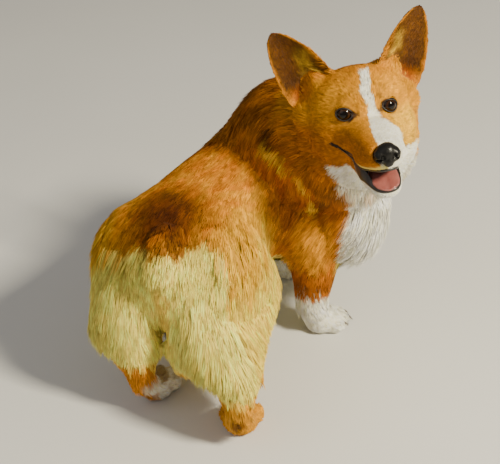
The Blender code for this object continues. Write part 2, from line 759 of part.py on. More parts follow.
def eye_opening(side):
    """The almond-shaped space between the lids, drawn out along the gaze."""
    axes = eye_frame(side)
    rings = []
    wide, high = (size * HEAD_SCALE for size in LID_OPEN)
    for reach in (0.002, 0.020):
        ring = []
        for k in range(20):
            turn = 2 * math.pi * k / 20
            x = math.cos(turn) * wide
            z = math.sin(turn) * high * (1.0 - 0.25 * abs(math.cos(turn)) ** 3)
            z += x * side * 0.16
            spread = 1.0 + 10.0 * (reach - 0.011)
            ring.append(tuple(eye_place(side) + axes @ Vector((x * spread, reach, z * spread))))
        rings.append(ring)
    return loft("opening", rings)


def mouth_space():
    """The open mouth: a wedge from the corners of the lips to the front, lowest in the middle."""
    rings = []
    for ahead, top, opening in MOUTH:
        lower, upper = [], []
        for k in range(9):
            across = MOUTH_HALF * (k / 4 - 1)
            drop = max(0.35, 1.0 - 0.75 * (abs(across) / LIP_HALF) ** 2.2)
            lower.append(tuple(head_point(across, ahead, top - opening * drop)))
            upper.append(tuple(head_point(across, ahead, top)))
        rings.append(lower + upper[::-1])
    return loft("mouth", rings)


def tongue(name):
    """The tongue, lying in the lower jaw, its tip forward, a groove down its middle."""
    made = head_loft(name, TONGUE, 12, 2)
    axes = head_frame()
    for vertex in made.data.vertices:
        local = axes.transposed() @ (vertex.co - EYES_MIDDLE)
        groove = 0.0014 * math.exp(-(local.x / 0.0028) ** 2)
        vertex.co -= axes.col[2] * groove
    return made


def head_nodes(neck):
    """The head with its lids, lips and ears, and the nodes that are set into it."""
    head = fused("head", head_forms() + neck_forms(), HEAD_VOXEL)
    smooth(head, 14)
    thin(head, HEAD_TRIANGLES)
    point, normal = head_cut()
    combine(head, [halfspace(point + normal * GAP / 2, normal)], "INTERSECT")
    combine(neck, [halfspace(point - normal * GAP / 2, -normal)], "INTERSECT")
    lids = [blob("lid", eye_place(side), (EYE_RADIUS * HEAD_SCALE + LID_THICK,) * 3,
                 eye_frame(side), 16) for side in (-1, 1)]
    combine(head, lids, "UNION")
    cuts = [mouth_space()]
    for side in (-1, 1):
        cuts.append(eye_opening(side))
    combine(head, cuts, "DIFFERENCE")
    radius = EYE_RADIUS * HEAD_SCALE
    sockets = [blob("socket", eye_place(side), (radius + GAP,) * 3, eye_frame(side), 16)
               for side in (-1, 1)]
    combine(head, sockets, "DIFFERENCE")
    for side, word in ((-1, "right"), (1, "left")):
        blob("eye_" + word, eye_place(side), (radius,) * 3, eye_frame(side), 16)
    leather = nose("nose")
    combine(head, [grown(leather, GAP)], "DIFFERENCE")
    tongue_node = tongue("tongue")
    combine(tongue_node, [grown(head, GAP)], "DIFFERENCE")
    for side, word in ((-1, "right"), (1, "left")):
        flap = ear(side, "ear_" + word)
        combine(flap, [grown(head, GAP)], "DIFFERENCE")
    return head


def grown(obj, amount):
    """A copy of a closed solid, swollen by an amount on every side."""
    made = copy_of(obj, "grown")
    mesh = bmesh.new()
    mesh.from_mesh(made.data)
    mesh.normal_update()
    shifts = [vertex.normal * amount * max(1.0, vertex.calc_shell_factor()) for vertex in mesh.verts]
    for vertex, shift in zip(mesh.verts, shifts):
        vertex.co += shift
    mesh.to_mesh(made.data)
    mesh.free()
    return made


def lock(tree, root, normal, lie, length, wide, hang):
    """A flat tapered lock of hair that follows the surface along lie; its tip hangs by hang."""
    place, up = root, normal
    step = length * 0.25
    rings = []
    for breadth, height in ((0.55, -0.90), (1.0, 0.10), (0.92, 0.55), (0.58, 0.85), (0.10, 0.70)):
        along = (lie - up * lie.dot(up)).normalized()
        across = along.cross(up).normalized()
        centre = place + up * LOCK_LIFT * height
        half, deep = wide * breadth / 2, LOCK_THICK * (0.30 + 0.70 * breadth) / 2
        rings.append([tuple(centre + across * half), tuple(centre + up * deep),
                      tuple(centre - across * half), tuple(centre - up * deep)])
        ahead = place + along * step
        near, new_up, _, _ = tree.find_nearest(ahead)
        place = near.lerp(ahead, hang)
        up = new_up.lerp(up, 0.5 + 0.5 * hang).normalized()
    return loft("lock", rings)


def surface_of(obj):
    """A tree for casting rays at a node's surface."""
    mesh = bmesh.new()
    mesh.from_mesh(obj.data)
    tree = BVHTree.FromBMesh(mesh)
    mesh.free()
    return tree


def add_locks(obj, places, rng, lie_of, keep):
    """Fuse locks onto a node. places: ray starts, ray directions, lengths and hang of each."""
    tree = surface_of(obj)
    locks = []
    for start, aim, length, hang in places:
        point, normal, _, _ = tree.ray_cast(start, aim)
        if point is None:
            continue
        lie = lie_of(point, normal) + Vector(rng.normal(0.0, 0.08, 3))
        long = length * rng.uniform(0.9, 1.1)
        wide = LOCK_WIDE * rng.uniform(0.85, 1.15)
        made = lock(tree, point, normal, lie, long, wide, hang)
        if all(keep(vertex.co) for vertex in made.data.vertices):
            locks.append(made)
        else:
            bpy.data.objects.remove(made)
    combine(obj, locks, "UNION")
    return len(locks)


def clear_of(names):
    """A test that a point keeps LOCK_CLEAR from the surfaces of the named nodes."""
    trees = [surface_of(bpy.data.objects[name]) for name in names]
    return lambda point: all(tree.find_nearest(point)[3] > LOCK_CLEAR for tree in trees)


def breeches(side, rng):
    """Locks down the back and outer side of a thigh."""
    word = "right" if side < 0 else "left"
    thigh = bpy.data.objects["thigh_" + word]
    forward, left = facing(8.0)
    heel = HEEL_RIGHT if side < 0 else HEEL_LEFT
    middle = heel * 0.55 + left * side * 0.028
    places = []
    for row, (height, count, length) in enumerate(BREECHES_ROWS):
        for k in range(count):
            turn = math.radians(-62.0 + 172.0 * (k + 0.5 * (row % 2)) / count) * side
            aim = forward * math.cos(turn) - left * math.sin(turn)
            start = middle - aim * 0.30 + Vector((0, 0, height + 0.020))
            places.append((start, aim, length, 0.75 if row == 0 else 0.15))
    clear = clear_of(("torso", "pastern_rear_" + word))

    def keep(point):
        return clear(point) and point.dot(left) * side > 0.0025 and point.z > 0.045

    def lie(point, normal):
        return Vector((0, 0, -1.0)) - forward * 0.14 + left * side * 0.06

    return add_locks(thigh, places, rng, lie, keep)


def bib(rng):
    """Locks down the front of the chest."""
    chest = bpy.data.objects["chest"]
    middle, heading = spine(0.235)
    places = []
    for row, (height, count, length) in enumerate(BIB_ROWS):
        for k in range(count):
            turn = heading - 70.0 + 150.0 * (k + 0.5 * (row % 2)) / count
            outward, _ = facing(turn)
            start = middle + outward * 0.40 + Vector((0, 0, height + 0.020))
            places.append((start, -outward, length, 0.6 if row == 0 else 0.15))
    keep = clear_of(("upper_arm_left", "upper_arm_right", "forearm_left", "forearm_right",
                     "neck", "torso"))

    def lie(point, normal):
        return Vector((0, 0, -1.0)) - facing(heading)[0] * 0.25

    return add_locks(chest, places, rng, lie, keep)


def ruff(rng):
    """Locks round the lower edge of the neck's mane, over the throat and the sides."""
    neck = bpy.data.objects["neck"]
    base, _ = spine(0.205)
    ahead, side_way = facing(NECK_HEADING)
    up = (Vector((0, 0, 1)) + ahead * NECK_LEAN).normalized()
    level = base + Vector((0, 0, 0.252))
    across = ahead.cross(up).normalized()
    front = up.cross(across).normalized()
    places = []
    for row, (height, count, length) in enumerate(RUFF_ROWS):
        for k in range(count):
            turn = 2 * math.pi * (k + 0.5 * (row % 2)) / count
            outward = front * math.cos(turn) + across * math.sin(turn)
            middle = level + up * height + ahead * 0.03
            places.append((middle + outward * 0.30, -outward, length, 0.1))

    keep = clear_of(("head", "chest", "torso", "ear_left", "ear_right"))

    def lie(point, normal):
        return -up

    return add_locks(neck, places, rng, lie, keep)


def tail(name, others):
    """The docked tail: a short nub between the haunches."""
    made = limb(name, [Vector((0.002, 0.052, 0.236)), Vector((0.0, 0.076, 0.234)),
                       Vector((-0.001, 0.094, 0.222))], [0.021, 0.019, 0.012], 16, 8)
    thin(made, 160)
    for other in others:
        combine(made, [grown(bpy.data.objects[other], GAP)], "DIFFERENCE")
    return made


def material(name, colour, roughness):
    """A plain finish."""
    made = bpy.data.materials.new(name)
    made.use_nodes = True
    shader = made.node_tree.nodes["Principled BSDF"]
    shader.inputs["Base Color"].default_value = (*colour, 1.0)
    shader.inputs["Roughness"].default_value = roughness
    return made


def finish_nodes():
    """Name the collection, set the origin under the middle of the dog, and give finishes."""
    group = bpy.data.collections.new("pembroke_welsh_corgi")
    bpy.context.scene.collection.children.link(group)
    nodes = [o for o in bpy.context.scene.collection.objects if o.type == "MESH"]
    corners = np.array([tuple(v.co) for o in nodes for v in o.data.vertices])
    low, high = corners.min(0), corners.max(0)
    shift = Vector((-(low[0] + high[0]) / 2, -(low[1] + high[1]) / 2, -low[2]))
    finishes = {name: material(name, *look) for name, look in FINISHES.items()}
    for node in nodes:
        node.data.transform(Matrix.Translation(shift))
        bpy.context.scene.collection.objects.unlink(node)
        group.objects.link(node)
        stem = node.name.replace("_left", "").replace("_right", "")
        node.data.materials.clear()
        node.data.materials.append(finishes[NODE_FINISH[stem]])
        node.data.name = node.name


def main():
    """Build the dog."""
    for old in list(bpy.data.objects):
        bpy.data.objects.remove(old)
    neck = body_nodes()
    head_nodes(neck)
    rng = np.random.default_rng(SEED)
    for side in (-1, 1):
        breeches(side, rng)
    bib(rng)
    ruff(rng)
    tail("tail", ("torso", "thigh_left", "thigh_right"))
    finish_nodes()


if __name__ == "__main__":
    main()
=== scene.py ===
"""A corgi that stands and looks back over its shoulder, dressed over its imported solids.

The solids give every form. One skin is drawn over all of them together, sunk by the depth of
the coat, and carries thin solid tufts that follow the lie of the hair. Eyes, lids, nose, lips,
tongue and claws are pieces of their own. Places are given in two sets of directions: the
rump's, which has its zero on the floor under the hips, and the head's, which has its zero
midway between the eyes and counts left, forward and up.
"""

import logging
import math
from dataclasses import dataclass, field
from enum import Enum

import bpy
import numpy as np
from mathutils import Matrix, Vector
from mathutils.bvhtree import BVHTree
from mathutils.kdtree import KDTree


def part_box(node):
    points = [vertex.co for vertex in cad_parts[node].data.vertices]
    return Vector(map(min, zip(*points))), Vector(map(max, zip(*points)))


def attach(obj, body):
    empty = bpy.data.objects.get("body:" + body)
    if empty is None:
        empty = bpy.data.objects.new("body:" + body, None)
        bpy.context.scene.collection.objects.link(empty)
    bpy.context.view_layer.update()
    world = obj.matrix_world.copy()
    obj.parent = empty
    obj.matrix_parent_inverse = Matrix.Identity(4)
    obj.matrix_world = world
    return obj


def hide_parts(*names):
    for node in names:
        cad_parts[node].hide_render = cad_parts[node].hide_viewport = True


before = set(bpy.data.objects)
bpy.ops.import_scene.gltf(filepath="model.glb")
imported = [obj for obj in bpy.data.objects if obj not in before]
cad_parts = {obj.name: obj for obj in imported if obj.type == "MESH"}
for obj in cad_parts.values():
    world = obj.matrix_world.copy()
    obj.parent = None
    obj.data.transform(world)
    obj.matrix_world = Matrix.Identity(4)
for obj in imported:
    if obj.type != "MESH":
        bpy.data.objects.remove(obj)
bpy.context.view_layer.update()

LOG = logging.getLogger("corgi")
Array = np.ndarray

SEED = 11
MOST_TRIANGLES = 190000  # of one piece of coat
BLOCK = 20000  # places whose lie is found at once
UP = np.array((0.0, 0.0, 1.0))
HEAD_SCALE = 0.92
EYES_MIDDLE = np.array((-0.220, -0.035, 0.365))  # of the head's zero, in the rump's directions
HEAD_TURN = (158.0, 12.0, 4.0)  # heading, pitch and roll of the head, in degrees
EYE = np.array((0.0270, -0.0095, -0.0005))
EYE_TURN = 16.0
EYE_RADIUS = 0.0112 * HEAD_SCALE
LID_OPEN = (0.0106 * HEAD_SCALE, 0.0076 * HEAD_SCALE)
LID_TILT = {-1: 0.10, 1: -0.18}  # how far the outer corner of the almond is lifted
EAR_BASE = np.array((0.058, -0.062, 0.016))
EAR_TIP = np.array((0.094, -0.062, 0.100))
EAR_FACE = (0.34, 0.94, 0.0)  # the way the left ear's hollow looks
EAR_HALF = ((-0.25, 0.020), (0.0, 0.0318), (0.25, 0.0295), (0.5, 0.0258), (0.7, 0.0215), (1.0, 0.006))
EAR_WIDER = {-1: (1.36, 1.00), 1: (1.22, 1.18)}
SPINE_KNOTS = ((-0.11, 2.0), (0.0, 8.0), (0.10, 24.0), (0.20, 54.0), (0.34, 64.0))
MOUTH = ((-0.006, -0.0365, 0.0008), (0.004, -0.0400, 0.0030), (0.012, -0.0455, 0.0070),
         (0.024, -0.0525, 0.0130), (0.036, -0.0565, 0.0190), (0.048, -0.0578, 0.0235),
         (0.060, -0.0575, 0.0270), (0.070, -0.0558, 0.0285), (0.080, -0.0540, 0.0300),
         (0.100, -0.0530, 0.0340))
MOUTH_TOP = tuple(row[:2] for row in MOUTH)
MOUTH_OPENING = tuple((row[0], row[2]) for row in MOUTH)
MOUTH_MIDDLE = np.array((0.0, 0.026, 0.0))  # lip rays run level towards it
LIP_HALF = 0.034
FLESH = ("torso", "chest", "neck", "head", "tail", "ear_left", "ear_right", "thigh_left",
         "thigh_right", "pastern_rear_left", "pastern_rear_right", "paw_rear_left",
         "paw_rear_right", "upper_arm_left", "upper_arm_right", "forearm_left",
         "forearm_right", "paw_front_left", "paw_front_right")

RUST = np.array((0.070, 0.017, 0.0015))
RED = np.array((0.43, 0.105, 0.004))
GOLD = np.array((0.64, 0.275, 0.012))
SAND = np.array((0.88, 0.545, 0.048))
CREAM = np.array((0.90, 0.725, 0.145))
WHITE = np.array((0.96, 0.94, 0.78))
UMBER = np.array((0.050, 0.019, 0.005))
BLACK = np.array((0.012, 0.009, 0.008))
FLESH_PINK = np.array((0.30, 0.10, 0.09))

# Lines of the markings, and of the painted shade in the folds of the neck, in the rump's directions
PALE_STRIPE = ((-0.0793, -0.0865, 0.2996), (-0.0989, -0.0705, 0.2911), (-0.1167, -0.0563, 0.2855),
               (-0.1282, -0.0450, 0.2788), (-0.1415, -0.0397, 0.2601), (-0.1482, -0.0431, 0.2389),
               (-0.1448, -0.0767, 0.1973), (-0.1504, -0.0759, 0.1754))
# Painted shade: umber along the fold where the neck turns over the shoulder, and along a lower fold
FOLD_SHADE_LINE = ((-0.0758, -0.0983, 0.3088), (-0.0999, -0.0782, 0.3081), (-0.1192, -0.0620, 0.3025),
             (-0.1355, -0.0477, 0.2952), (-0.1491, -0.0366, 0.2796), (-0.1591, -0.0355, 0.2653),
             (-0.1733, -0.0353, 0.2539), (-0.1833, -0.0406, 0.2392))
LOWER_FOLD_SHADE_LINE = ((-0.1568, -0.0469, 0.2321), (-0.1565, -0.0789, 0.1885))
GOLD_ARM = ((-0.1528, -0.0722, 0.1634), (-0.1500, -0.0690, 0.1380))
# Where the cream of the breeches ends: above, by x; at the dog's right, by z
CREAM_TOP = ((-0.100, 0.1200), (-0.0867, 0.1080), (-0.0736, 0.0860), (-0.0674, 0.0579), (-0.0492, 0.0489),
             (-0.0278, 0.0567), (-0.0121, 0.0780), (0.0122, 0.0800), (0.0505, 0.0600),
             (0.0805, 0.0475), (0.110, 0.0350))
CREAM_SIDE = ((0.060, -0.125), (0.1254, -0.104), (0.1794, -0.093), (0.2308, -0.071))
# The blaze's edges by height in the head, and where the white of the left cheek begins
BLAZE_RIGHT = ((-0.0400, -0.0100), (-0.0230, -0.0082), (-0.0172, -0.0065), (-0.0084, -0.0010),
               (0.0034, -0.0001), (0.0187, -0.0049), (0.0363, 0.0014), (0.0450, 0.0050))
BLAZE_LEFT = ((-0.0093, 0.0142), (0.0017, 0.0074), (0.0169, 0.0058), (0.0345, 0.0122), (0.0450, 0.0150))
CHEEK_WHITE = ((-0.0900, -0.0450), (-0.0614, -0.0154), (-0.0414, 0.0088), (-0.0280, 0.0200),
               (-0.0173, 0.0270), (-0.0093, 0.0102))
THROAT_EDGE = ((-0.1250, -0.0300), (-0.1066, -0.0361), (-0.0979, -0.0418), (-0.0694, -0.0519))


class Side(Enum):
    """The dog's own right and left."""

    RIGHT = -1
    LEFT = 1

    @property
    def word(self) -> str:
        """The word that ends this side's names."""
        return self.name.lower()


def unit(rows: Array) -> Array:
    """Rows scaled to length one."""
    return rows / np.maximum(np.linalg.norm(rows, axis=-1, keepdims=True), 1e-12)


def round_turns(count: int) -> Array:
    """Angles evenly round a ring, from 0."""
    return np.linspace(0.0, 2.0 * math.pi, count, endpoint=False)


def step(values: Array, low: float, high: float) -> Array:
    """A smooth step: 0 at low, 1 at high, 3t^2 - 2t^3 between. low may be above high."""
    t = np.clip((values - low) / (high - low), 0.0, 1.0)
    return t * t * (3.0 - 2.0 * t)


def hump(values: Array, middle: float, width: float) -> Array:
    """A bell: 1 at the middle, falling as exp(-(x/width)^2)."""
    return np.exp(-(((values - middle) / width) ** 2))


def blend(first: Array, second: Array, share: Array) -> Array:
    """Rows of first and second, mixed by a share for each row."""
    return first + (second - first) * np.asarray(share)[..., None]


def ripple(points: Array, scale: float, seed: int) -> Array:
    """A soft random field from -1 to 1: the mean of seven sine waves in random directions.

    Args:
        points: places, one a row.
        scale: the length of a wave in metres.
        seed: which field.

    Returns:
        One value for each place.
    """
    rng = np.random.default_rng(seed)
    waves = unit(rng.normal(size=(7, 3))) * (2.0 * math.pi / scale) * rng.uniform(0.6, 1.6, (7, 1))
    phase = rng.uniform(0.0, 2.0 * math.pi, 7)
    return np.sin(points @ waves.T + phase).mean(1) * 1.8


def from_line(points: Array, places: tuple) -> tuple[Array, Array]:
    """For each place: how far it is from a bent line, and how far along the line it lies, 0 to 1."""
    knots = np.asarray(places, float)
    start, run = knots[:-1], np.diff(knots, axis=0)
    away = points[:, None, :] - start[None]
    t = np.clip((away * run).sum(2) / (run**2).sum(1), 0.0, 1.0)
    gap = np.linalg.norm(away - run * t[..., None], axis=2)
    near = gap.argmin(1)
    rows = np.arange(len(points))
    return gap[rows, near], (near + t[rows, near]) / len(run)


def by_table(values: Array, table: tuple) -> Array:
    """Values read from a table of pairs, straight between them."""
    rows = np.array(table)
    return np.interp(values, rows[:, 0], rows[:, 1])


def heading_axes(heading: float) -> tuple[Array, Array]:
    """Level forward and left directions for a heading in degrees from -Y towards -X."""
    turn = math.radians(heading)
    forward = np.array((-math.sin(turn), -math.cos(turn), 0.0))
    return forward, np.array((-forward[1], forward[0], 0.0))


@dataclass(frozen=True)
class Lay:
    """Where the rump's and the head's own directions lie in the row frame."""

    rump: Array
    eyes: Array
    axes: Array

    @classmethod
    def measured(cls) -> "Lay":
        """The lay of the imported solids, worked out from the boxes of the two eyes."""
        heading, pitch, roll = (HEAD_TURN[0], *np.radians(HEAD_TURN[1:]))
        level, left = heading_axes(heading)
        forward = level * math.cos(pitch) + np.array((0, 0, math.sin(pitch)))
        left = left * math.cos(roll) + np.cross(forward, left) * math.sin(roll)
        axes = np.column_stack((left, forward, np.cross(forward, left)))
        boxes = [np.array([tuple(c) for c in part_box("eye_" + side.word)]) for side in Side]
        between = np.mean([box.mean(0) for box in boxes], 0)
        eyes = between - axes @ (np.array((0.0, EYE[1], EYE[2])) * HEAD_SCALE)
        return cls(eyes - EYES_MIDDLE, eyes, axes)

    def head(self, places: Array) -> Array:
        """Head places as places in the row frame."""
        return self.eyes + (np.asarray(places, float) * HEAD_SCALE) @ self.axes.T

    def to_head(self, points: Array) -> Array:
        """Places in the row frame as head places."""
        return ((points - self.eyes) @ self.axes) / HEAD_SCALE

    def body(self, places: Array) -> Array:
        """Rump places as places in the row frame."""
        return self.rump + np.asarray(places, float)

    def spine(self, count: int = 140) -> tuple[Array, Array, Array]:
        """Distances, floor places and headings along the back, from behind the hips forward."""
        knots = np.array(SPINE_KNOTS)
        at = np.linspace(-0.12, 0.34, count)
        turns = np.radians(np.interp(at, knots[:, 0], knots[:, 1]))
        steps = np.column_stack((-np.sin(turns), -np.cos(turns), np.zeros(count))) * (at[1] - at[0])
        run = np.cumsum(steps, 0)
        run -= np.array([np.interp(0.0, at, run[:, k]) for k in range(3)])
        return at, self.rump + run, turns

    def along(self, points: Array) -> tuple[Array, Array, Array]:
        """For each place: the distance along the back, how far to the left of it, the height."""
        at, run, turns = self.spine()
        gaps = ((points[:, None, :2] - run[None, :, :2]) ** 2).sum(2)
        near = gaps.argmin(1)
        left = np.column_stack((np.cos(turns[near]), -np.sin(turns[near])))
        out = ((points[:, :2] - run[near, :2]) * left).sum(1)
        return at[near], out, points[:, 2]

    def on_spine(self, distance: float, out: float, height: float) -> Array:
        """A place at a distance along the back, so far to the left of it and so high."""
        at, run, turns = self.spine()
        turn = np.interp(distance, at, turns)
        base = np.array([np.interp(distance, at, run[:, k]) for k in range(3)])
        return base + np.array((math.cos(turn), -math.sin(turn), 0.0)) * out + np.array((0, 0, height))


def mesh_object(name: str, points: Array, faces: Array) -> bpy.types.Object:
    """A new object from points and faces of three or four corners.

    Args:
        name: the object's name.
        points: corners, one a row.
        faces: corner numbers, three or four a row.

    Returns:
        The object, linked to the scene, at the origin.
    """
    mesh = bpy.data.meshes.new(name)
    count, sides = faces.shape
    mesh.vertices.add(len(points))
    mesh.vertices.foreach_set("co", np.ascontiguousarray(points, np.float32).ravel())
    mesh.loops.add(count * sides)
    mesh.loops.foreach_set("vertex_index", faces.astype(np.int32).ravel())
    mesh.polygons.add(count)
    mesh.polygons.foreach_set("loop_start", np.arange(0, count * sides, sides, dtype=np.int32))
    mesh.polygons.foreach_set("use_smooth", np.ones(count, bool))
    mesh.update(calc_edges=True)
    made = bpy.data.objects.new(name, mesh)
    bpy.context.scene.collection.objects.link(made)
    return made


def mesh_arrays(mesh: bpy.types.Mesh) -> tuple[Array, Array]:
    """The points and triangles of a mesh, with doubled points merged."""
    mesh.calc_loop_triangles()
    points = np.empty(len(mesh.vertices) * 3)
    mesh.vertices.foreach_get("co", points)
    corners = np.empty(len(mesh.loop_triangles) * 3, np.int32)
    mesh.loop_triangles.foreach_get("vertices", corners)
    kept, where = np.unique(np.round(points.reshape(-1, 3), 7), axis=0, return_inverse=True)
    faces = where.ravel()[corners].reshape(-1, 3)
    whole = (faces[:, 0] != faces[:, 1]) & (faces[:, 1] != faces[:, 2]) & (faces[:, 2] != faces[:, 0])
    return kept, faces[whole]


def joined(shapes: list[tuple[Array, Array]]) -> tuple[Array, Array]:
    """Several sets of points and triangles as one."""
    starts = np.cumsum([0] + [len(points) for points, _ in shapes[:-1]])
    faces = [faces + start for (_, faces), start in zip(shapes, starts)]
    return np.vstack([points for points, _ in shapes]), np.vstack(faces)


def corner_normals(points: Array, faces: Array) -> Array:
    """Normals at the points: the sum of the normals of the triangles round each, by area."""
    a, b, c = (points[faces[:, k]] for k in range(3))
    cross = np.cross(b - a, c - a)
    total = np.zeros_like(points)
    for k in range(3):
        column = np.repeat(cross[:, k], 3)
        total[:, k] = np.bincount(faces.ravel(), column, len(points))
    return unit(total)


def edges_of(faces: Array) -> Array:
    """The edges of triangles, each once, as pairs of corner numbers."""
    pairs = np.concatenate([faces[:, [0, 1]], faces[:, [1, 2]], faces[:, [2, 0]]])
    return np.unique(np.sort(pairs, 1), axis=0)


def relaxed(values: Array, edges: Array, share: Array | float, times: int) -> Array:
    """Values drawn towards the mean of their neighbours, over and over.

    Args:
        values: one row for each point.
        edges: pairs of neighbouring points.
        share: how far each step goes, for all or for each point.
        times: how many steps.

    Returns:
        The evened values.
    """
    flat = values.reshape(len(values), -1).astype(float).copy()
    a, b = edges.T
    count = len(flat)
    degree = np.maximum(np.bincount(a, minlength=count) + np.bincount(b, minlength=count), 1)
    pull = np.broadcast_to(np.asarray(share, float), (count,))
    for _ in range(times):
        for k in range(flat.shape[1]):
            column = flat[:, k]
            mean = (np.bincount(a, column[b], count) + np.bincount(b, column[a], count)) / degree
            flat[:, k] = column + pull * (mean - column)
    return flat.reshape(values.shape)


def applied(made: bpy.types.Object, kind: str, **settings: object) -> bpy.types.Object:
    """An object with one modifier put on and applied.

    Args:
        made: the object.
        kind: the modifier's type.
        settings: its properties by name.

    Returns:
        The same object, with the modifier's result as its mesh.
    """
    modifier = made.modifiers.new("work", kind)
    for name, value in settings.items():
        setattr(modifier, name, value)
    graph = bpy.context.evaluated_depsgraph_get()
    result = bpy.data.meshes.new_from_object(made.evaluated_get(graph))
    made.modifiers.clear()
    old = made.data
    made.data = result
    bpy.data.meshes.remove(old)
    return made


def evened(rows: Array, times: int) -> Array:
    """Rows along a line, each drawn halfway to the mean of its neighbours, the ends kept."""
    rows = rows.copy()
    for _ in range(times):
        rows[1:-1] = rows[1:-1] * 0.5 + (rows[:-2] + rows[2:]) * 0.25
    return rows


def tree_of(points: Array, faces: Array) -> BVHTree:
    """A search tree over triangles."""
    return BVHTree.FromPolygons(points.tolist(), faces.tolist())


def put_colour(mesh: bpy.types.Mesh, colours: Array) -> None:
    """Colours, one for each point of a mesh, as an attribute."""
    layer = mesh.attributes.new("coat_colour", "FLOAT_COLOR", "POINT")
    rows = np.ones((len(colours), 4), np.float32)
    rows[:, :3] = colours
    layer.data.foreach_set("color", rows.ravel())


def put_vectors(mesh: bpy.types.Mesh, vectors: Array, name: str) -> None:
    """Vectors, one for each point of a mesh, as an attribute."""
    layer = mesh.attributes.new(name, "FLOAT_VECTOR", "POINT")
    layer.data.foreach_set("vector", np.ascontiguousarray(vectors, np.float32).ravel())


def put_map(mesh: bpy.types.Mesh, places: Array) -> None:
    """A UV map, one place for each corner of each face."""
    layer = mesh.uv_layers.new(name="OFBake")
    layer.data.foreach_set("uv", np.ascontiguousarray(places, np.float32).ravel())


def grid_faces(rows: int, around: int, closed_rows: bool = False) -> Array:
    """Quads of a grid that is closed round its second direction, and maybe its first.

    Args:
        rows: points along the first direction.
        around: points round the second.
        closed_rows: whether the last row joins the first.

    Returns:
        Corner numbers, four a row, for points laid out row by row.
    """
    i = np.arange(rows if closed_rows else rows - 1)[:, None]
    j = np.arange(around)[None, :]
    nxt, right = (i + 1) % rows, (j + 1) % around
    corners = (i * around + j, i * around + right, nxt * around + right, nxt * around + j)
    return np.stack([np.broadcast_to(c, (len(i), around)) for c in corners], -1).reshape(-1, 4)


def halved(quads: Array) -> Array:
    """Quads as triangles."""
    return np.concatenate([quads[:, [0, 1, 2]], quads[:, [0, 2, 3]]])


def capped(points: Array, rows: int, around: int) -> tuple[Array, Array]:
    """Triangles for a tube of rows of points, with a point put in the middle of each end.

    Args:
        points: the tube's points, row by row.
        rows: how many rows.
        around: points in a row.

    Returns:
        The points with the two middles added, and outward triangles if the rows run
        anticlockwise as seen from beyond the last row.
    """
    body = halved(grid_faces(rows, around))
    first, last = points[:around].mean(0), points[-around:].mean(0)
    j = np.arange(around)
    right = (j + 1) % around
    start = np.column_stack((right, j, np.full(around, rows * around)))
    base = (rows - 1) * around
    end = np.column_stack((base + j, base + right, np.full(around, rows * around + 1)))
    return np.vstack([points, first, last]), np.concatenate([body, start, end])


def outward(points: Array, faces: Array) -> Array:
    """Triangles of a closed shape, all turned over if they enclose less than nothing."""
    a, b, c = (points[faces[:, k]] for k in range(3))
    volume = np.einsum("ij,ij->i", a, np.cross(b, c)).sum()
    return faces if volume > 0 else faces[:, ::-1]


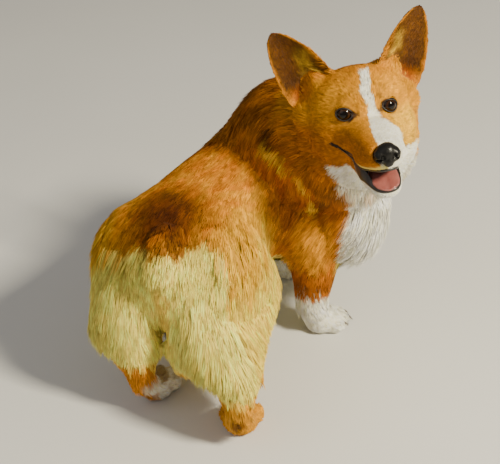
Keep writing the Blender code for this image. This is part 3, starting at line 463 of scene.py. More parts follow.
class Board:
    """The node board of one material, written with as few words as possible."""

    def __init__(self, name: str) -> None:
        """An empty material with a Principled shader."""
        self.material = bpy.data.materials.new(name)
        self.material.use_nodes = True
        self.tree = self.material.node_tree
        self.shader = self.tree.nodes["Principled BSDF"]

    def node(self, kind: str, settings: dict | None = None, inputs: dict | None = None) -> bpy.types.Node:
        """One node.

        Args:
            kind: the node's type name.
            settings: its properties, or a ramp's stops under "stops".
            inputs: values or links by socket name or number.

        Returns:
            The node.
        """
        made = self.tree.nodes.new(kind)
        for name, value in (settings or {}).items():
            if name == "stops":
                self._stops(made.color_ramp, value)
            else:
                setattr(made, name, value)
        for name, value in (inputs or {}).items():
            self.feed(made.inputs[name], value)
        return made

    def _stops(self, ramp: bpy.types.ColorRamp, stops: list) -> None:
        """Set a ramp's stops, each a place and a colour."""
        while len(ramp.elements) < len(stops):
            ramp.elements.new(0.5)
        for element, (place, colour) in zip(ramp.elements, stops):
            element.position = place
            element.color = (*colour, 1.0)

    def feed(self, socket: bpy.types.NodeSocket, value: object) -> None:
        """Give a socket a link or a value."""
        if isinstance(value, Wire):
            self.tree.links.new(value.socket, socket)
        elif isinstance(value, (tuple, list, np.ndarray)) and socket.type == "RGBA":
            socket.default_value = (*value, 1.0) if len(value) == 3 else tuple(value)
        else:
            socket.default_value = value

    def wire(self, node: bpy.types.Node, output: str | int = 0) -> "Wire":
        """One output of a node."""
        return Wire(self, node.outputs[output])

    def attribute(self, name: str, output: str = "Color") -> "Wire":
        """A mesh attribute by name."""
        return self.wire(self.node("ShaderNodeAttribute", {"attribute_name": name}), output)

    def place(self) -> "Wire":
        """Object coordinates."""
        return self.wire(self.node("ShaderNodeTexCoord"), "Object")

    def noise(self, vector: "Wire", scale: float, detail: float = 2.0, rough: float = 0.5) -> "Wire":
        """Noise from 0 to 1."""
        inputs = {"Vector": vector, "Scale": scale, "Detail": detail, "Roughness": rough}
        return self.wire(self.node("ShaderNodeTexNoise", None, inputs), "Fac")

    def stretch(self, vector: "Wire", amounts: tuple[float, float, float]) -> "Wire":
        """A vector with each direction scaled."""
        return self.wire(self.node("ShaderNodeVectorMath", {"operation": "MULTIPLY"},
                                   {0: vector, 1: amounts}))

    def mix(self, share: object, first: object, second: object, how: str = "MIX") -> "Wire":
        """Two colours mixed by a share."""
        made = self.node("ShaderNodeMix", {"data_type": "RGBA", "blend_type": how})
        for index, value in ((0, share), (6, first), (7, second)):
            self.feed(made.inputs[index], value)
        return Wire(self, made.outputs[2])

    def ramp(self, value: "Wire", stops: list) -> "Wire":
        """Colours by a value."""
        return self.wire(self.node("ShaderNodeValToRGB", {"stops": stops}, {"Fac": value}), "Color")

    def bump(self, height: "Wire", distance: float, strength: float = 1.0) -> None:
        """Bump on the shader's normal."""
        made = self.node("ShaderNodeBump", None,
                         {"Height": height, "Distance": distance, "Strength": strength})
        self.tree.links.new(made.outputs["Normal"], self.shader.inputs["Normal"])

    def set(self, **sockets: object) -> "Board":
        """Give shader sockets, named with _ for a space, their values or links."""
        for name, value in sockets.items():
            self.feed(self.shader.inputs[name.replace("_", " ")], value)
        return self


class Wire:
    """A shader value that Python arithmetic works on."""

    def __init__(self, board: Board, socket: bpy.types.NodeSocket) -> None:
        """A value at an output socket of a board."""
        self.board = board
        self.socket = socket

    def _math(self, operation: str, first: object, second: object) -> "Wire":
        """A Math node on two values."""
        node = self.board.node("ShaderNodeMath", {"operation": operation}, {0: first, 1: second})
        return Wire(self.board, node.outputs[0])

    def __add__(self, other: object) -> "Wire":
        """Sum."""
        return self._math("ADD", self, other)

    def __mul__(self, other: object) -> "Wire":
        """Product."""
        return self._math("MULTIPLY", self, other)

    def __sub__(self, other: object) -> "Wire":
        """Difference."""
        return self._math("SUBTRACT", self, other)

    def __rsub__(self, other: object) -> "Wire":
        """Difference, the other way round."""
        return self._math("SUBTRACT", other, self)


@dataclass(frozen=True)
class CoatFinish:
    """Hair: the markings' colour, a little uneven, soft and hardly glossy."""

    name: str = "coat_hair"
    rough: float = 0.62

    def material(self) -> bpy.types.Material:
        """The finish as a material."""
        board = Board(self.name)
        grain = board.noise(board.place(), 70.0, 3.0)
        tone = board.ramp(grain, [(0.25, (0.80, 0.78, 0.76)), (0.75, (1.12, 1.12, 1.12))])
        colour = board.mix(1.0, board.attribute("coat_colour"), tone, "MULTIPLY")
        board.set(Base_Color=colour, Roughness=grain * 0.16 + (self.rough - 0.08))
        board.set(Specular_IOR_Level=0.12)
        return board.material


@dataclass(frozen=True)
class SkinFinish:
    """Skin under hair: the markings' colour, darker, with a bump of short flat hair."""

    name: str = "coat_ground"

    def material(self) -> bpy.types.Material:
        """The finish as a material."""
        board = Board(self.name)
        place = board.place()
        grain = board.noise(place, 60.0, 3.0)
        hair = board.noise(board.stretch(place, (1.0, 1.0, 0.35)), 900.0, 2.0)
        tone = board.ramp(grain, [(0.25, (0.80, 0.78, 0.76)), (0.75, (1.0, 1.0, 1.0))])
        colour = board.mix(1.0, board.attribute("coat_colour"), tone, "MULTIPLY")
        board.set(Base_Color=colour, Roughness=grain * 0.15 + 0.62, Specular_IOR_Level=0.25)
        board.bump(hair, 0.0007, 0.8)
        return board.material


@dataclass(frozen=True)
class NoseFinish:
    """Nose leather: black, pebbled, moist."""

    name: str = "nose_leather"

    def material(self) -> bpy.types.Material:
        """The finish as a material."""
        board = Board(self.name)
        place = board.place()
        cells = board.node("ShaderNodeTexVoronoi", {"feature": "DISTANCE_TO_EDGE"},
                           {"Vector": place, "Scale": 1150.0})
        pebble = board.wire(cells, "Distance")
        cloud = board.noise(place, 160.0, 3.0)
        colour = board.mix(cloud, (0.0025, 0.0022, 0.0022), (0.009, 0.008, 0.0075))
        board.set(Base_Color=colour, Roughness=0.44 - cloud * 0.20)
        board.set(Specular_IOR_Level=0.22, Coat_Weight=0.12, Coat_Roughness=0.16)
        board.bump(pebble, 0.00030, 0.7)
        return board.material


@dataclass(frozen=True)
class EyeFinish:
    """An eye: black pupil, brown iris with darker rim, pale edge, wet cover."""

    name: str = "eye_wet"

    def material(self) -> bpy.types.Material:
        """The finish as a material, by the angle from the gaze that the attribute holds."""
        board = Board(self.name)
        iris = board.attribute("iris", "Vector")
        parts = board.node("ShaderNodeSeparateXYZ", None, {0: iris})
        angle = board.wire(parts, "Z")
        rays = board.noise(board.stretch(iris, (9.0, 9.0, 2.2)), 3.2, 3.0)
        turn = angle + (rays - 0.5) * 0.05
        tones = board.ramp(turn, [(0.0, (0.001, 0.001, 0.001)), (0.38, (0.001, 0.001, 0.001)),
                                  (0.43, (0.014, 0.006, 0.002)), (0.58, (0.046, 0.017, 0.005)),
                                  (0.70, (0.024, 0.009, 0.003)), (0.80, (0.003, 0.002, 0.002)),
                                  (0.92, (0.006, 0.004, 0.003)), (1.10, (0.16, 0.12, 0.10))])
        colour = board.mix(rays * 0.5, tones, (0.008, 0.003, 0.002))
        board.set(Base_Color=colour, Roughness=rays * 0.08 + 0.12)
        board.set(Specular_IOR_Level=0.08, Coat_Weight=0.45, Coat_Roughness=0.015)
        return board.material


@dataclass(frozen=True)
class HideFinish:
    """Bare hide: lids and lips, nearly black, finely creased, a little moist."""

    name: str
    dark: tuple[float, float, float]
    light: tuple[float, float, float]
    rough: float
    creases: float = 900.0

    def material(self) -> bpy.types.Material:
        """The finish as a material."""
        board = Board(self.name)
        place = board.place()
        cloud = board.noise(place, 220.0, 3.0)
        folds = board.noise(place, self.creases, 2.0)
        board.set(Base_Color=board.mix(cloud, self.dark, self.light))
        board.set(Roughness=cloud * 0.18 + (self.rough - 0.09), Coat_Weight=0.2, Coat_Roughness=0.3)
        board.bump(folds, 0.00025, 0.6)
        return board.material


@dataclass(frozen=True)
class TongueFinish:
    """Tongue: pink, paler at the edge of its buds, wet."""

    name: str = "tongue_wet"

    def material(self) -> bpy.types.Material:
        """The finish as a material."""
        board = Board(self.name)
        place = board.place()
        cloud = board.noise(place, 120.0, 3.0)
        buds = board.wire(board.node("ShaderNodeTexVoronoi", {"feature": "F1"},
                                     {"Vector": place, "Scale": 1500.0}), "Distance")
        colour = board.mix(cloud, (0.24, 0.058, 0.052), (0.40, 0.135, 0.112))
        board.set(Base_Color=colour, Roughness=cloud * 0.2 + 0.26)
        board.set(Coat_Weight=0.45, Coat_Roughness=0.15, Subsurface_Weight=0.12,
                  Subsurface_Scale=0.004)
        board.bump(buds, 0.00018, 0.8)
        return board.material


@dataclass(frozen=True)
class ClawFinish:
    """Claw: dark horn, unevenly paler."""

    name: str = "claw_horn"

    def material(self) -> bpy.types.Material:
        """The finish as a material."""
        board = Board(self.name)
        grain = board.noise(board.place(), 500.0, 3.0)
        colour = board.mix(grain, (0.030, 0.022, 0.018), (0.16, 0.12, 0.09))
        board.set(Base_Color=colour, Roughness=grain * 0.15 + 0.28, Specular_IOR_Level=0.5)
        return board.material


@dataclass(frozen=True)
class Pelt:
    """The coat on one part of the body.

    depth is how far the skin lies under the solids, length, width and rise are a tuft's, in
    metres, count is the tufts on the part, clump is how far tips are drawn together, and long
    says that a tuft has a second bend.
    """

    depth: float
    length: float
    width: float
    rise: float
    count: int
    clump: float = 0.35
    long: bool = False

    @property
    def triangles(self) -> int:
        """How many triangles one tuft has."""
        return 12 if self.long else 6


PELTS = {
    "torso": Pelt(0.0042, 0.020, 0.0014, 0.0032, 44000, 0.24),
    "tail": Pelt(0.0045, 0.022, 0.0016, 0.0058, 2400, 0.40, True),
    "chest": Pelt(0.0062, 0.026, 0.00135, 0.0062, 24000, 0.42),
    "neck": Pelt(0.0058, 0.023, 0.0016, 0.0048, 26000, 0.34),
    "head": Pelt(0.0014, 0.0085, 0.0009, 0.0014, 52000, 0.20),
    "ear": Pelt(0.0014, 0.0090, 0.0009, 0.0009, 8000, 0.20),
    "thigh": Pelt(0.0062, 0.031, 0.00130, 0.0066, 24000, 0.55),
    "pastern_rear": Pelt(0.0022, 0.012, 0.0012, 0.0022, 2400, 0.25),
    "paw_rear": Pelt(0.0011, 0.0065, 0.0010, 0.0012, 2800, 0.20),
    "upper_arm": Pelt(0.0042, 0.017, 0.0014, 0.0036, 4000, 0.30),
    "forearm": Pelt(0.0026, 0.012, 0.0012, 0.0024, 3000, 0.25),
    "paw_front": Pelt(0.0011, 0.0065, 0.0010, 0.0012, 3200, 0.20),
}


def stem(node: str) -> str:
    """A node's name without its side."""
    return node.replace("_left", "").replace("_right", "")


@dataclass(frozen=True)
class EyePlace:
    """One eye: its side, middle and axes across, along the gaze and up."""

    side: Side
    middle: Array
    axes: Array

    @classmethod
    def on(cls, lay: Lay, side: Side) -> "EyePlace":
        """The place of an eye in the head."""
        left, forward, up = lay.axes.T
        gaze = unit(forward + left * math.tan(math.radians(EYE_TURN)) * side.value)
        across = unit(left - gaze * (left @ gaze))
        middle = lay.head(EYE * (side.value, 1.0, 1.0))
        return cls(side, middle, np.column_stack((across, gaze, up)))

    def rim(self, turn: Array) -> Array:
        """The angle from the gaze at which the lids' edge lies, in radians.

        The edge is an almond: x = wide cos t, z = high sin t (1 - |cos t|^3 / 4), its outer
        corner lifted by LID_TILT of x, on a ball a little larger than the eye.
        """
        t = np.linspace(0.0, 2.0 * math.pi, 181)
        x = np.cos(t) * LID_OPEN[0]
        z = np.sin(t) * LID_OPEN[1] * (1.0 - 0.25 * np.abs(np.cos(t)) ** 3)
        z += x * self.side.value * LID_TILT[self.side.value]
        bearing = np.unwrap(np.arctan2(z, x))
        reach = np.arcsin(np.clip(np.hypot(x, z) / (EYE_RADIUS + 0.0010), 0.0, 0.98))
        return np.interp(turn % (2.0 * math.pi), bearing, reach, period=2.0 * math.pi)

    def polar(self, points: Array) -> tuple[Array, Array, Array]:
        """For each place: the distance from the eye's middle, the angle from the gaze, the bearing."""
        local = (points - self.middle) @ self.axes
        far = np.linalg.norm(local, axis=1)
        angle = np.arccos(np.clip(local[:, 1] / np.maximum(far, 1e-9), -1.0, 1.0))
        return far, angle, np.arctan2(local[:, 2], local[:, 0])

    def at(self, far: Array, angle: Array, bearing: Array) -> Array:
        """Places from a distance, an angle from the gaze and a bearing."""
        across = np.sin(angle) * far
        local = np.stack((across * np.cos(bearing), np.cos(angle) * far, across * np.sin(bearing)), -1)
        return self.middle + local @ self.axes.T


def ear_front(side: Side) -> Array:
    """The way an ear's hollow looks, in the head's directions."""
    return unit(np.array(EAR_FACE) * (side.value, 1, 1))


def ear_place(local: Array, side: Side) -> tuple[Array, Array, Array]:
    """Where head places lie on an ear: across (-1 inner edge, 1 outer), up it, and to its front."""
    base, tip = EAR_BASE * (side.value, 1, 1), EAR_TIP * (side.value, 1, 1)
    axis = tip - base
    face = ear_front(side)
    wide = unit(np.cross(axis, face))
    wide = wide if wide[0] * side.value > 0 else -wide
    away = local - base
    up = away @ axis / (axis @ axis)
    half = by_table(up, EAR_HALF)
    across = (away - up[:, None] * axis) @ wide / half
    spread = 1.0 - 0.65 * np.clip((up - 0.5) / 0.5, 0.0, 1.0)
    inner, outer = EAR_WIDER[side.value]
    across /= 1.0 + (np.where(across < 0, inner, outer) - 1.0) * spread
    return across, up, away @ face


def lip_levels(local: Array) -> tuple[Array, Array]:
    """The heights of the upper and the lower lip's edge over head places.

    The lower lip lies below the upper by the opening times 1 - 0.75 (|x| / half)^2.2, so that
    it sags in the middle and rises to the corners.
    """
    top = by_table(local[..., 1], MOUTH_TOP)
    opening = by_table(local[..., 1], MOUTH_OPENING)
    drop = np.maximum(0.35, 1.0 - 0.75 * (np.abs(local[..., 0]) / LIP_HALF) ** 2.2)
    return top, top - opening * drop


def mouth_gap(local: Array, spare: float) -> Array:
    """Whether head places lie in the open mouth, or within spare of it above or below."""
    top, low = lip_levels(local)
    ahead = (local[:, 1] > MOUTH[0][0] - spare) & (local[:, 1] < 0.079)
    return ahead & (local[:, 2] < top + spare) & (local[:, 2] > low - spare)


def lip_band(local: Array) -> Array:
    """Whether head places lie in the dark band under the upper lip on the dog's right."""
    x, y, z = local.T
    top, opening = by_table(y, MOUTH_TOP), by_table(y, MOUTH_OPENING)
    deep = opening * np.interp(y, (0.030, 0.055), (0.95, 0.60)) + 0.0022
    ahead = (y > MOUTH[0][0] - 0.0015) & (y < 0.060)
    return ahead & (x < -0.012) & (z < top + 0.0010) & (z > top - deep)


@dataclass
class Markings:
    """The colours of the coat, by place."""

    lay: Lay
    eyes: list[EyePlace]

    def body(self, points: Array, normals: Array, part: Array) -> Array:
        """The colours of trunk, neck and legs."""
        s, out, z = self.lay.along(points)
        rump = points - self.lay.rump
        rough = ripple(points, 0.030, 3)
        fine = ripple(points, 0.009, 4)
        wave = rough * 0.006 + fine * 0.0035
        tone = np.broadcast_to(GOLD, points.shape).copy()
        tone = blend(tone, RED, 0.55 * step(z + rough * 0.02, 0.22, 0.26) + 0.15 * step(rough, -0.2, 0.8))
        # The flank redder and, lower down, darkened with rust: partly the coat's own red, partly painted
        # shade
        flank_red_and_shade = step(s + rough * 0.006, 0.095, 0.135) * step(z, 0.28, 0.22)
        tone = blend(tone, RED, 0.70 * flank_red_and_shade)
        tone = blend(tone, RUST, 0.42 * flank_red_and_shade * step(z + rough * 0.02, 0.12, 0.20) * step(s, 0.24, 0.19))
        # The nape darkened with rust: partly the coat's own darker red, partly painted shade
        nape_rust_and_shade = step(s + rough * 0.01, 0.11, 0.20) * step(z, 0.225, 0.26)
        tone = blend(tone, RUST, 0.50 * nape_rust_and_shade)
        near = np.linalg.norm((rump - (0.006, 0.020, 0.250)) * (0.86, 0.74, 0.5), axis=1)
        tone = blend(tone, RUST, 0.90 * step(near + wave, 0.062, 0.018))
        streak, _ = from_line(rump, ((0.002, 0.020, 0.25), (-0.002, 0.078, 0.222)))
        tone = blend(tone, RUST, 0.80 * step(streak + wave, 0.024, 0.008))
        # The haunch's sides lighter with sand and cream: partly the coat's paler haunch, partly painted
        # sunlight
        haunch_sand_and_light = step(s, 0.110, 0.060) * step(np.abs(out), 0.045, 0.078)
        tone = blend(tone, SAND, (0.30 + 0.45 * step(z + rough * 0.015, 0.235, 0.165)) * haunch_sand_and_light)
        tone = blend(tone, CREAM, 0.50 * haunch_sand_and_light * step(z + rough * 0.02, 0.215, 0.150))
        edge = rump[:, 1] + wave - by_table(rump[:, 0], CREAM_TOP)
        breech = step(edge, -0.004, 0.007)
        breech *= step(rump[:, 0] + wave * 2 - by_table(z, CREAM_SIDE), -0.030, 0.022)
        breech *= step(out, 0.112, 0.098)
        tone = blend(tone, CREAM, breech)
        tone = blend(tone, SAND, 0.35 * breech * step(fine, 0.1, 0.9))
        # Painted shade: a darker gold line down the cleft between the breeches
        cleft_shade, _ = from_line(rump, ((0.0, 0.078, 0.222), (0.001, 0.098, 0.175), (0.001, 0.095, 0.125)))
        tone = blend(tone, GOLD, 0.42 * step(cleft_shade + wave, 0.016, 0.004))
        inside = step(np.abs(out), 0.062, 0.050) * step(z, 0.20, 0.17) * step(s, 0.02, -0.03)
        tone = blend(tone, CREAM, 0.9 * inside * np.char.startswith(part, "thigh"))
        under = step(normals[:, 2] + rough * 0.1, -0.20, -0.65) * step(z, 0.15, 0.12)
        tone = blend(tone, CREAM, under)
        hem = step(z + wave, 0.098, 0.078) * step(s, 0.08, 0.03) * step(np.abs(out), 0.0, 0.03)
        tone = blend(tone, GOLD, 0.85 * hem)
        return self.front(points, normals, part, tone, s, z, rough, fine)

    def front(self, points: Array, normals: Array, part: Array, tone: Array, s: Array, z: Array,
              rough: Array, fine: Array) -> Array:
        """The same colours with those of the neck, the chest and the legs laid over them."""
        rump = points + normals * 0.005 - self.lay.rump
        wave = rough * 0.004 + fine * 0.003
        # Painted shade: the two folds darkened with umber where shade falls in them
        for line in (FOLD_SHADE_LINE, LOWER_FOLD_SHADE_LINE):
            gap, along = from_line(rump, line)
            ends = step(along, 0.0, 0.10) * step(along, 1.0, 0.80)
            tone = blend(tone, UMBER, 0.80 * step(gap + wave, 0.0150, 0.0070) * ends)
        gap, along = from_line(rump, PALE_STRIPE)
        ends = step(along, 0.0, 0.08) * step(along, 1.0, 0.85)
        tone = blend(tone, SAND, 0.92 * step(gap + wave, 0.0105, 0.0055) * ends)
        gap, _ = from_line(rump, GOLD_ARM)
        tone = blend(tone, GOLD, 0.80 * step(gap + wave * 2, 0.0480, 0.0120))
        ahead, _ = heading_axes(72.0)
        forward = rump @ ahead + wave
        bib = step(forward, 0.201, 0.209) * step(z + wave * 3 + rough * 0.010, 0.262, 0.236)
        tone = blend(tone, WHITE, bib * (s > 0.12))
        fore = np.char.startswith(part, "paw_front") | np.char.startswith(part, "forearm")
        tone = blend(tone, RED, 0.4 * fore)
        tone = blend(tone, RUST, 0.45 * fore * hump(z + wave, 0.080, 0.014))
        tone = blend(tone, WHITE, step(z + wave, 0.068, 0.059) * fore)
        hind = np.char.startswith(part, "pastern") | np.char.startswith(part, "paw_rear")
        tone = blend(tone, GOLD, 0.9 * hind * step(z, 0.095, 0.080))
        tone = blend(tone, RED, 0.45 * hind * step(rump[:, 0], -0.02, 0.02))
        inner = hind * step(rump[:, 0], 0.0, 0.02) * step(normals[:, 0], 0.0, -0.5) * step(z, 0.060, 0.040)
        tone = blend(tone, WHITE, inner * 0.9)
        hock, _ = from_line(rump, ((-0.093, 0.160, 0.050), (-0.092, 0.160, 0.030)))
        tone = blend(tone, RUST, 0.8 * step(hock + wave, 0.014, 0.005) * hind)
        toes = np.char.startswith(part, "paw_rear") * step(rump[:, 1] + wave, 0.085, 0.060)
        return blend(tone, WHITE, 0.8 * toes)

    def face(self, points: Array, local: Array) -> Array:
        """The colours of the head, muzzle and throat."""
        x, y, z = local.T
        rough = ripple(points, 0.016, 5)
        fine = ripple(points, 0.005, 6)
        wave = rough * 0.0010 + fine * 0.0006
        tone = np.broadcast_to(GOLD, points.shape).copy()
        tone = blend(tone, RED, 0.45 * step(z + rough * 0.004, 0.020, 0.050))
        behind = step(y + wave, -0.050, -0.056)
        tone = blend(tone, RED, 0.35 * behind * step(z, 0.0, 0.02) * step(x, 0.03, 0.0))
        tone = blend(tone, SAND, 0.45 * step(x, 0.010, 0.030) * step(z, 0.0, -0.02) * step(y, -0.05, -0.02))
        # Painted shade: the dog's right cheek and jaw darkened with red and rust
        tone = blend(tone, RED, 0.55 * step(x, 0.005, -0.020) * step(z, -0.004, -0.030))
        tone = blend(tone, RUST, 0.22 * step(x, 0.000, -0.025) * step(z + rough * 0.008, 0.010, -0.030))
        # Painted shade: a thin umber line across the back of the crown, where the neck's skin folds
        crown_fold_shade = hump(y + wave, -0.0500, 0.0022) * step(np.abs(x), 0.034, 0.024) * step(z, 0.02, 0.03)
        tone = blend(tone, UMBER, 0.75 * crown_fold_shade)
        right = by_table(z, BLAZE_RIGHT)
        left = by_table(z, BLAZE_LEFT)
        past_right = step(x + wave, right - 0.0010, right + 0.0010)
        blaze = past_right * step(x + wave, left + 0.0012, left - 0.0012)
        blaze *= step(z + rough * 0.001, 0.0405, 0.0370) * step(z, -0.0115, -0.0085) * (y > -0.055)
        past = step(y + wave - by_table(z, CHEEK_WHITE), -0.003, 0.003)
        snout = past_right * step(z, -0.0075, -0.0100)
        snout *= np.maximum(past, step(x, 0.013, 0.011)) * step(y, -0.07, -0.05)
        top, low = lip_levels(local)
        opening = by_table(y, MOUTH_OPENING)
        under = np.where(x < -0.012, np.minimum(low, top - opening), low)
        jaw = step(z + wave, under - 0.001, under - 0.004) * step(y + wave, 0.020, 0.032)
        edge = by_table(z, THROAT_EDGE)
        throat = step(x + wave * 3, edge - 0.004, edge + 0.004) * step(x, 0.066, 0.058)
        throat *= step(y, -0.105, -0.080)
        throat *= step(z + wave * 3 + 0.05 * y - 0.010 * step(x, 0.0, 0.03), -0.0665, -0.0725)
        tone = blend(tone, WHITE, np.maximum.reduce([blaze, snout, jaw, throat]))
        rim = step(z + wave, top + 0.0075, top + 0.0040) * step(y, 0.030, 0.050) * (x < 0.0)
        tone = blend(tone, CREAM, 0.8 * rim * (z > low))
        return self.dark_places(tone, points, local)

    def dark_places(self, tone: Array, points: Array, local: Array) -> Array:
        """The face with its dark rims, lips and inner corners of the eyes."""
        x, y, _ = local.T
        for eye in self.eyes:
            far, angle, bearing = eye.polar(points)
            edge = eye.rim(bearing) - angle
            close = step(far, 0.0155, 0.0130)
            tone = blend(tone, BLACK, close * step(edge, -0.15, -0.09))
            tone = blend(tone, UMBER, 0.60 * close * step(edge, -0.28, -0.12))
            corner = EYE * (eye.side.value, 1, 1) + (-eye.side.value * 0.0125, 0.0085, -0.0035)
            away = np.linalg.norm((local - corner) * (0.8, 0.8, 1.3), axis=1)
            tone = blend(tone, UMBER, 0.85 * step(away, 0.0058, 0.0030))
        spot = np.linalg.norm(local - (0.0150, 0.0005, 0.0125), axis=1)
        tone = blend(tone, UMBER, 0.55 * step(spot, 0.0052, 0.0020))
        lips = mouth_gap(local, 0.0022) & ((x < 0.0) | (y > 0.032)) | lip_band(local)
        tone = np.where(lips[:, None], BLACK, tone)
        # Painted shade: the skin inside the open mouth coloured as flesh at a quarter of its brightness
        inside = mouth_gap(local, -0.0030) & (np.abs(x) < 0.020)
        return np.where(inside[:, None], FLESH_PINK * 0.25, tone)

    def ear(self, points: Array, normals: Array, local: Array, side: Side) -> Array:
        """The colours of an ear: red outside, dark inside, partly its skin and partly painted shade of the
        hollow, a golden rim and a pale inner edge.
        """
        across, up, _ = ear_place(local, side)
        face = self.lay.axes @ ear_front(side)
        inner = step(normals @ face, 0.0, 0.40)
        rough = ripple(points, 0.012, 8)
        tone = blend(np.broadcast_to(RED, points.shape), GOLD, 0.6 * step(np.abs(across), 0.5, 0.95))
        # The hollow dark brown, deepest low down: partly the ear's skin, partly painted shade
        hollow = inner * step(np.abs(across) + rough * 0.05, 0.97, 0.78) * step(up, -0.02, 0.20)
        hollow_skin_and_shade = np.array((0.100, 0.041, 0.008))
        tone = blend(tone, hollow_skin_and_shade, hollow * 0.92)
        tone = blend(tone, UMBER, 0.45 * hollow * step(across, -0.2, 0.4) * step(up, 0.65, 0.25))
        pale = inner * hump(across + rough * 0.15, -0.50, 0.26) * step(up, 0.70, 0.30)
        return blend(tone, SAND, pale * 0.60)

    def at(self, points: Array, normals: Array, part: Array) -> Array:
        """The colour at each place.

        Args:
            points: places on the skin.
            normals: the skin's directions there.
            part: the name of the solid under each place.

        Returns:
            Linear colours, one a row.
        """
        local = self.lay.to_head(points)
        tone = self.body(points, normals, part)
        head = part == "head"
        near = np.linalg.norm(local * (1.0, 0.9, 1.0) - (0, -0.055, -0.02), axis=1)
        share = np.where(head, 1.0, np.where(part == "neck", step(near, 0.115, 0.085), 0.0))
        pick = share > 0
        tone[pick] = blend(tone[pick], self.face(points[pick], local[pick]), share[pick])
        for side in Side:
            pick = part == "ear_" + side.word
            tone[pick] = self.ear(points[pick], normals[pick], local[pick], side)
        return tone


# The lie of the hair on one side, as lines and how far each reaches: over the trunk and down the
# neck by distance along the back, out from it and height; over the face in the head's directions
TRUNK_LIE = (
    (((0.24, 0.09, 0.215), (0.13, 0.09, 0.185), (0.05, 0.088, 0.160)), 0.045),
    (((0.22, 0.085, 0.150), (0.13, 0.075, 0.120), (0.06, 0.07, 0.110)), 0.040),
    (((0.06, 0.085, 0.235), (0.01, 0.105, 0.190), (-0.01, 0.105, 0.140), (-0.035, 0.09, 0.085)), 0.040),
    (((-0.05, 0.020, 0.240), (-0.090, 0.045, 0.200), (-0.110, 0.055, 0.150), (-0.105, 0.052, 0.105),
      (-0.095, 0.055, 0.060)), 0.034),
    (((-0.080, 0.012, 0.215), (-0.100, 0.022, 0.170), (-0.095, 0.024, 0.110)), 0.026),
)
NECK_LIE = (
    ((0.050, -0.085, 0.0), ((0.245, 0.055, 0.275), (0.205, 0.088, 0.225), (0.20, 0.095, 0.165))),
    ((0.045, -0.055, -0.070), ((0.30, 0.05, 0.235), (0.31, 0.045, 0.18), (0.27, 0.045, 0.11))),
)
NOSE_TO_NAPE = ((0, 0.070, -0.020), (0, 0.030, -0.010), (0, 0.0, 0.008), (0, -0.02, 0.035),
                (0, -0.06, 0.050), (0, -0.10, 0.03))
FACE_LIE = (
    (((0.010, 0.075, -0.038), (0.026, 0.050, -0.040), (0.034, 0.020, -0.038), (0.048, -0.02, -0.036),
      (0.066, -0.06, -0.034), (0.070, -0.095, -0.045)), 0.014),
    (((0.012, 0.055, -0.022), (0.022, 0.018, -0.018), (0.034, 0.000, -0.016), (0.052, -0.024, -0.014),
      (0.068, -0.055, -0.010)), 0.010),
    (((0.008, 0.004, 0.004), (0.016, -0.008, 0.012), (0.034, -0.022, 0.018),
      (0.052, -0.045, 0.014)), 0.009),
    (((0.010, -0.010, 0.026), (0.026, -0.040, 0.042), (0.044, -0.068, 0.044)), 0.014),
    (((0.006, 0.058, -0.080), (0.016, 0.020, -0.080), (0.030, -0.02, -0.078),
      (0.040, -0.06, -0.085)), 0.014),
    (((0.030, 0.000, -0.055), (0.048, -0.03, -0.060), (0.060, -0.07, -0.075)), 0.014),
)


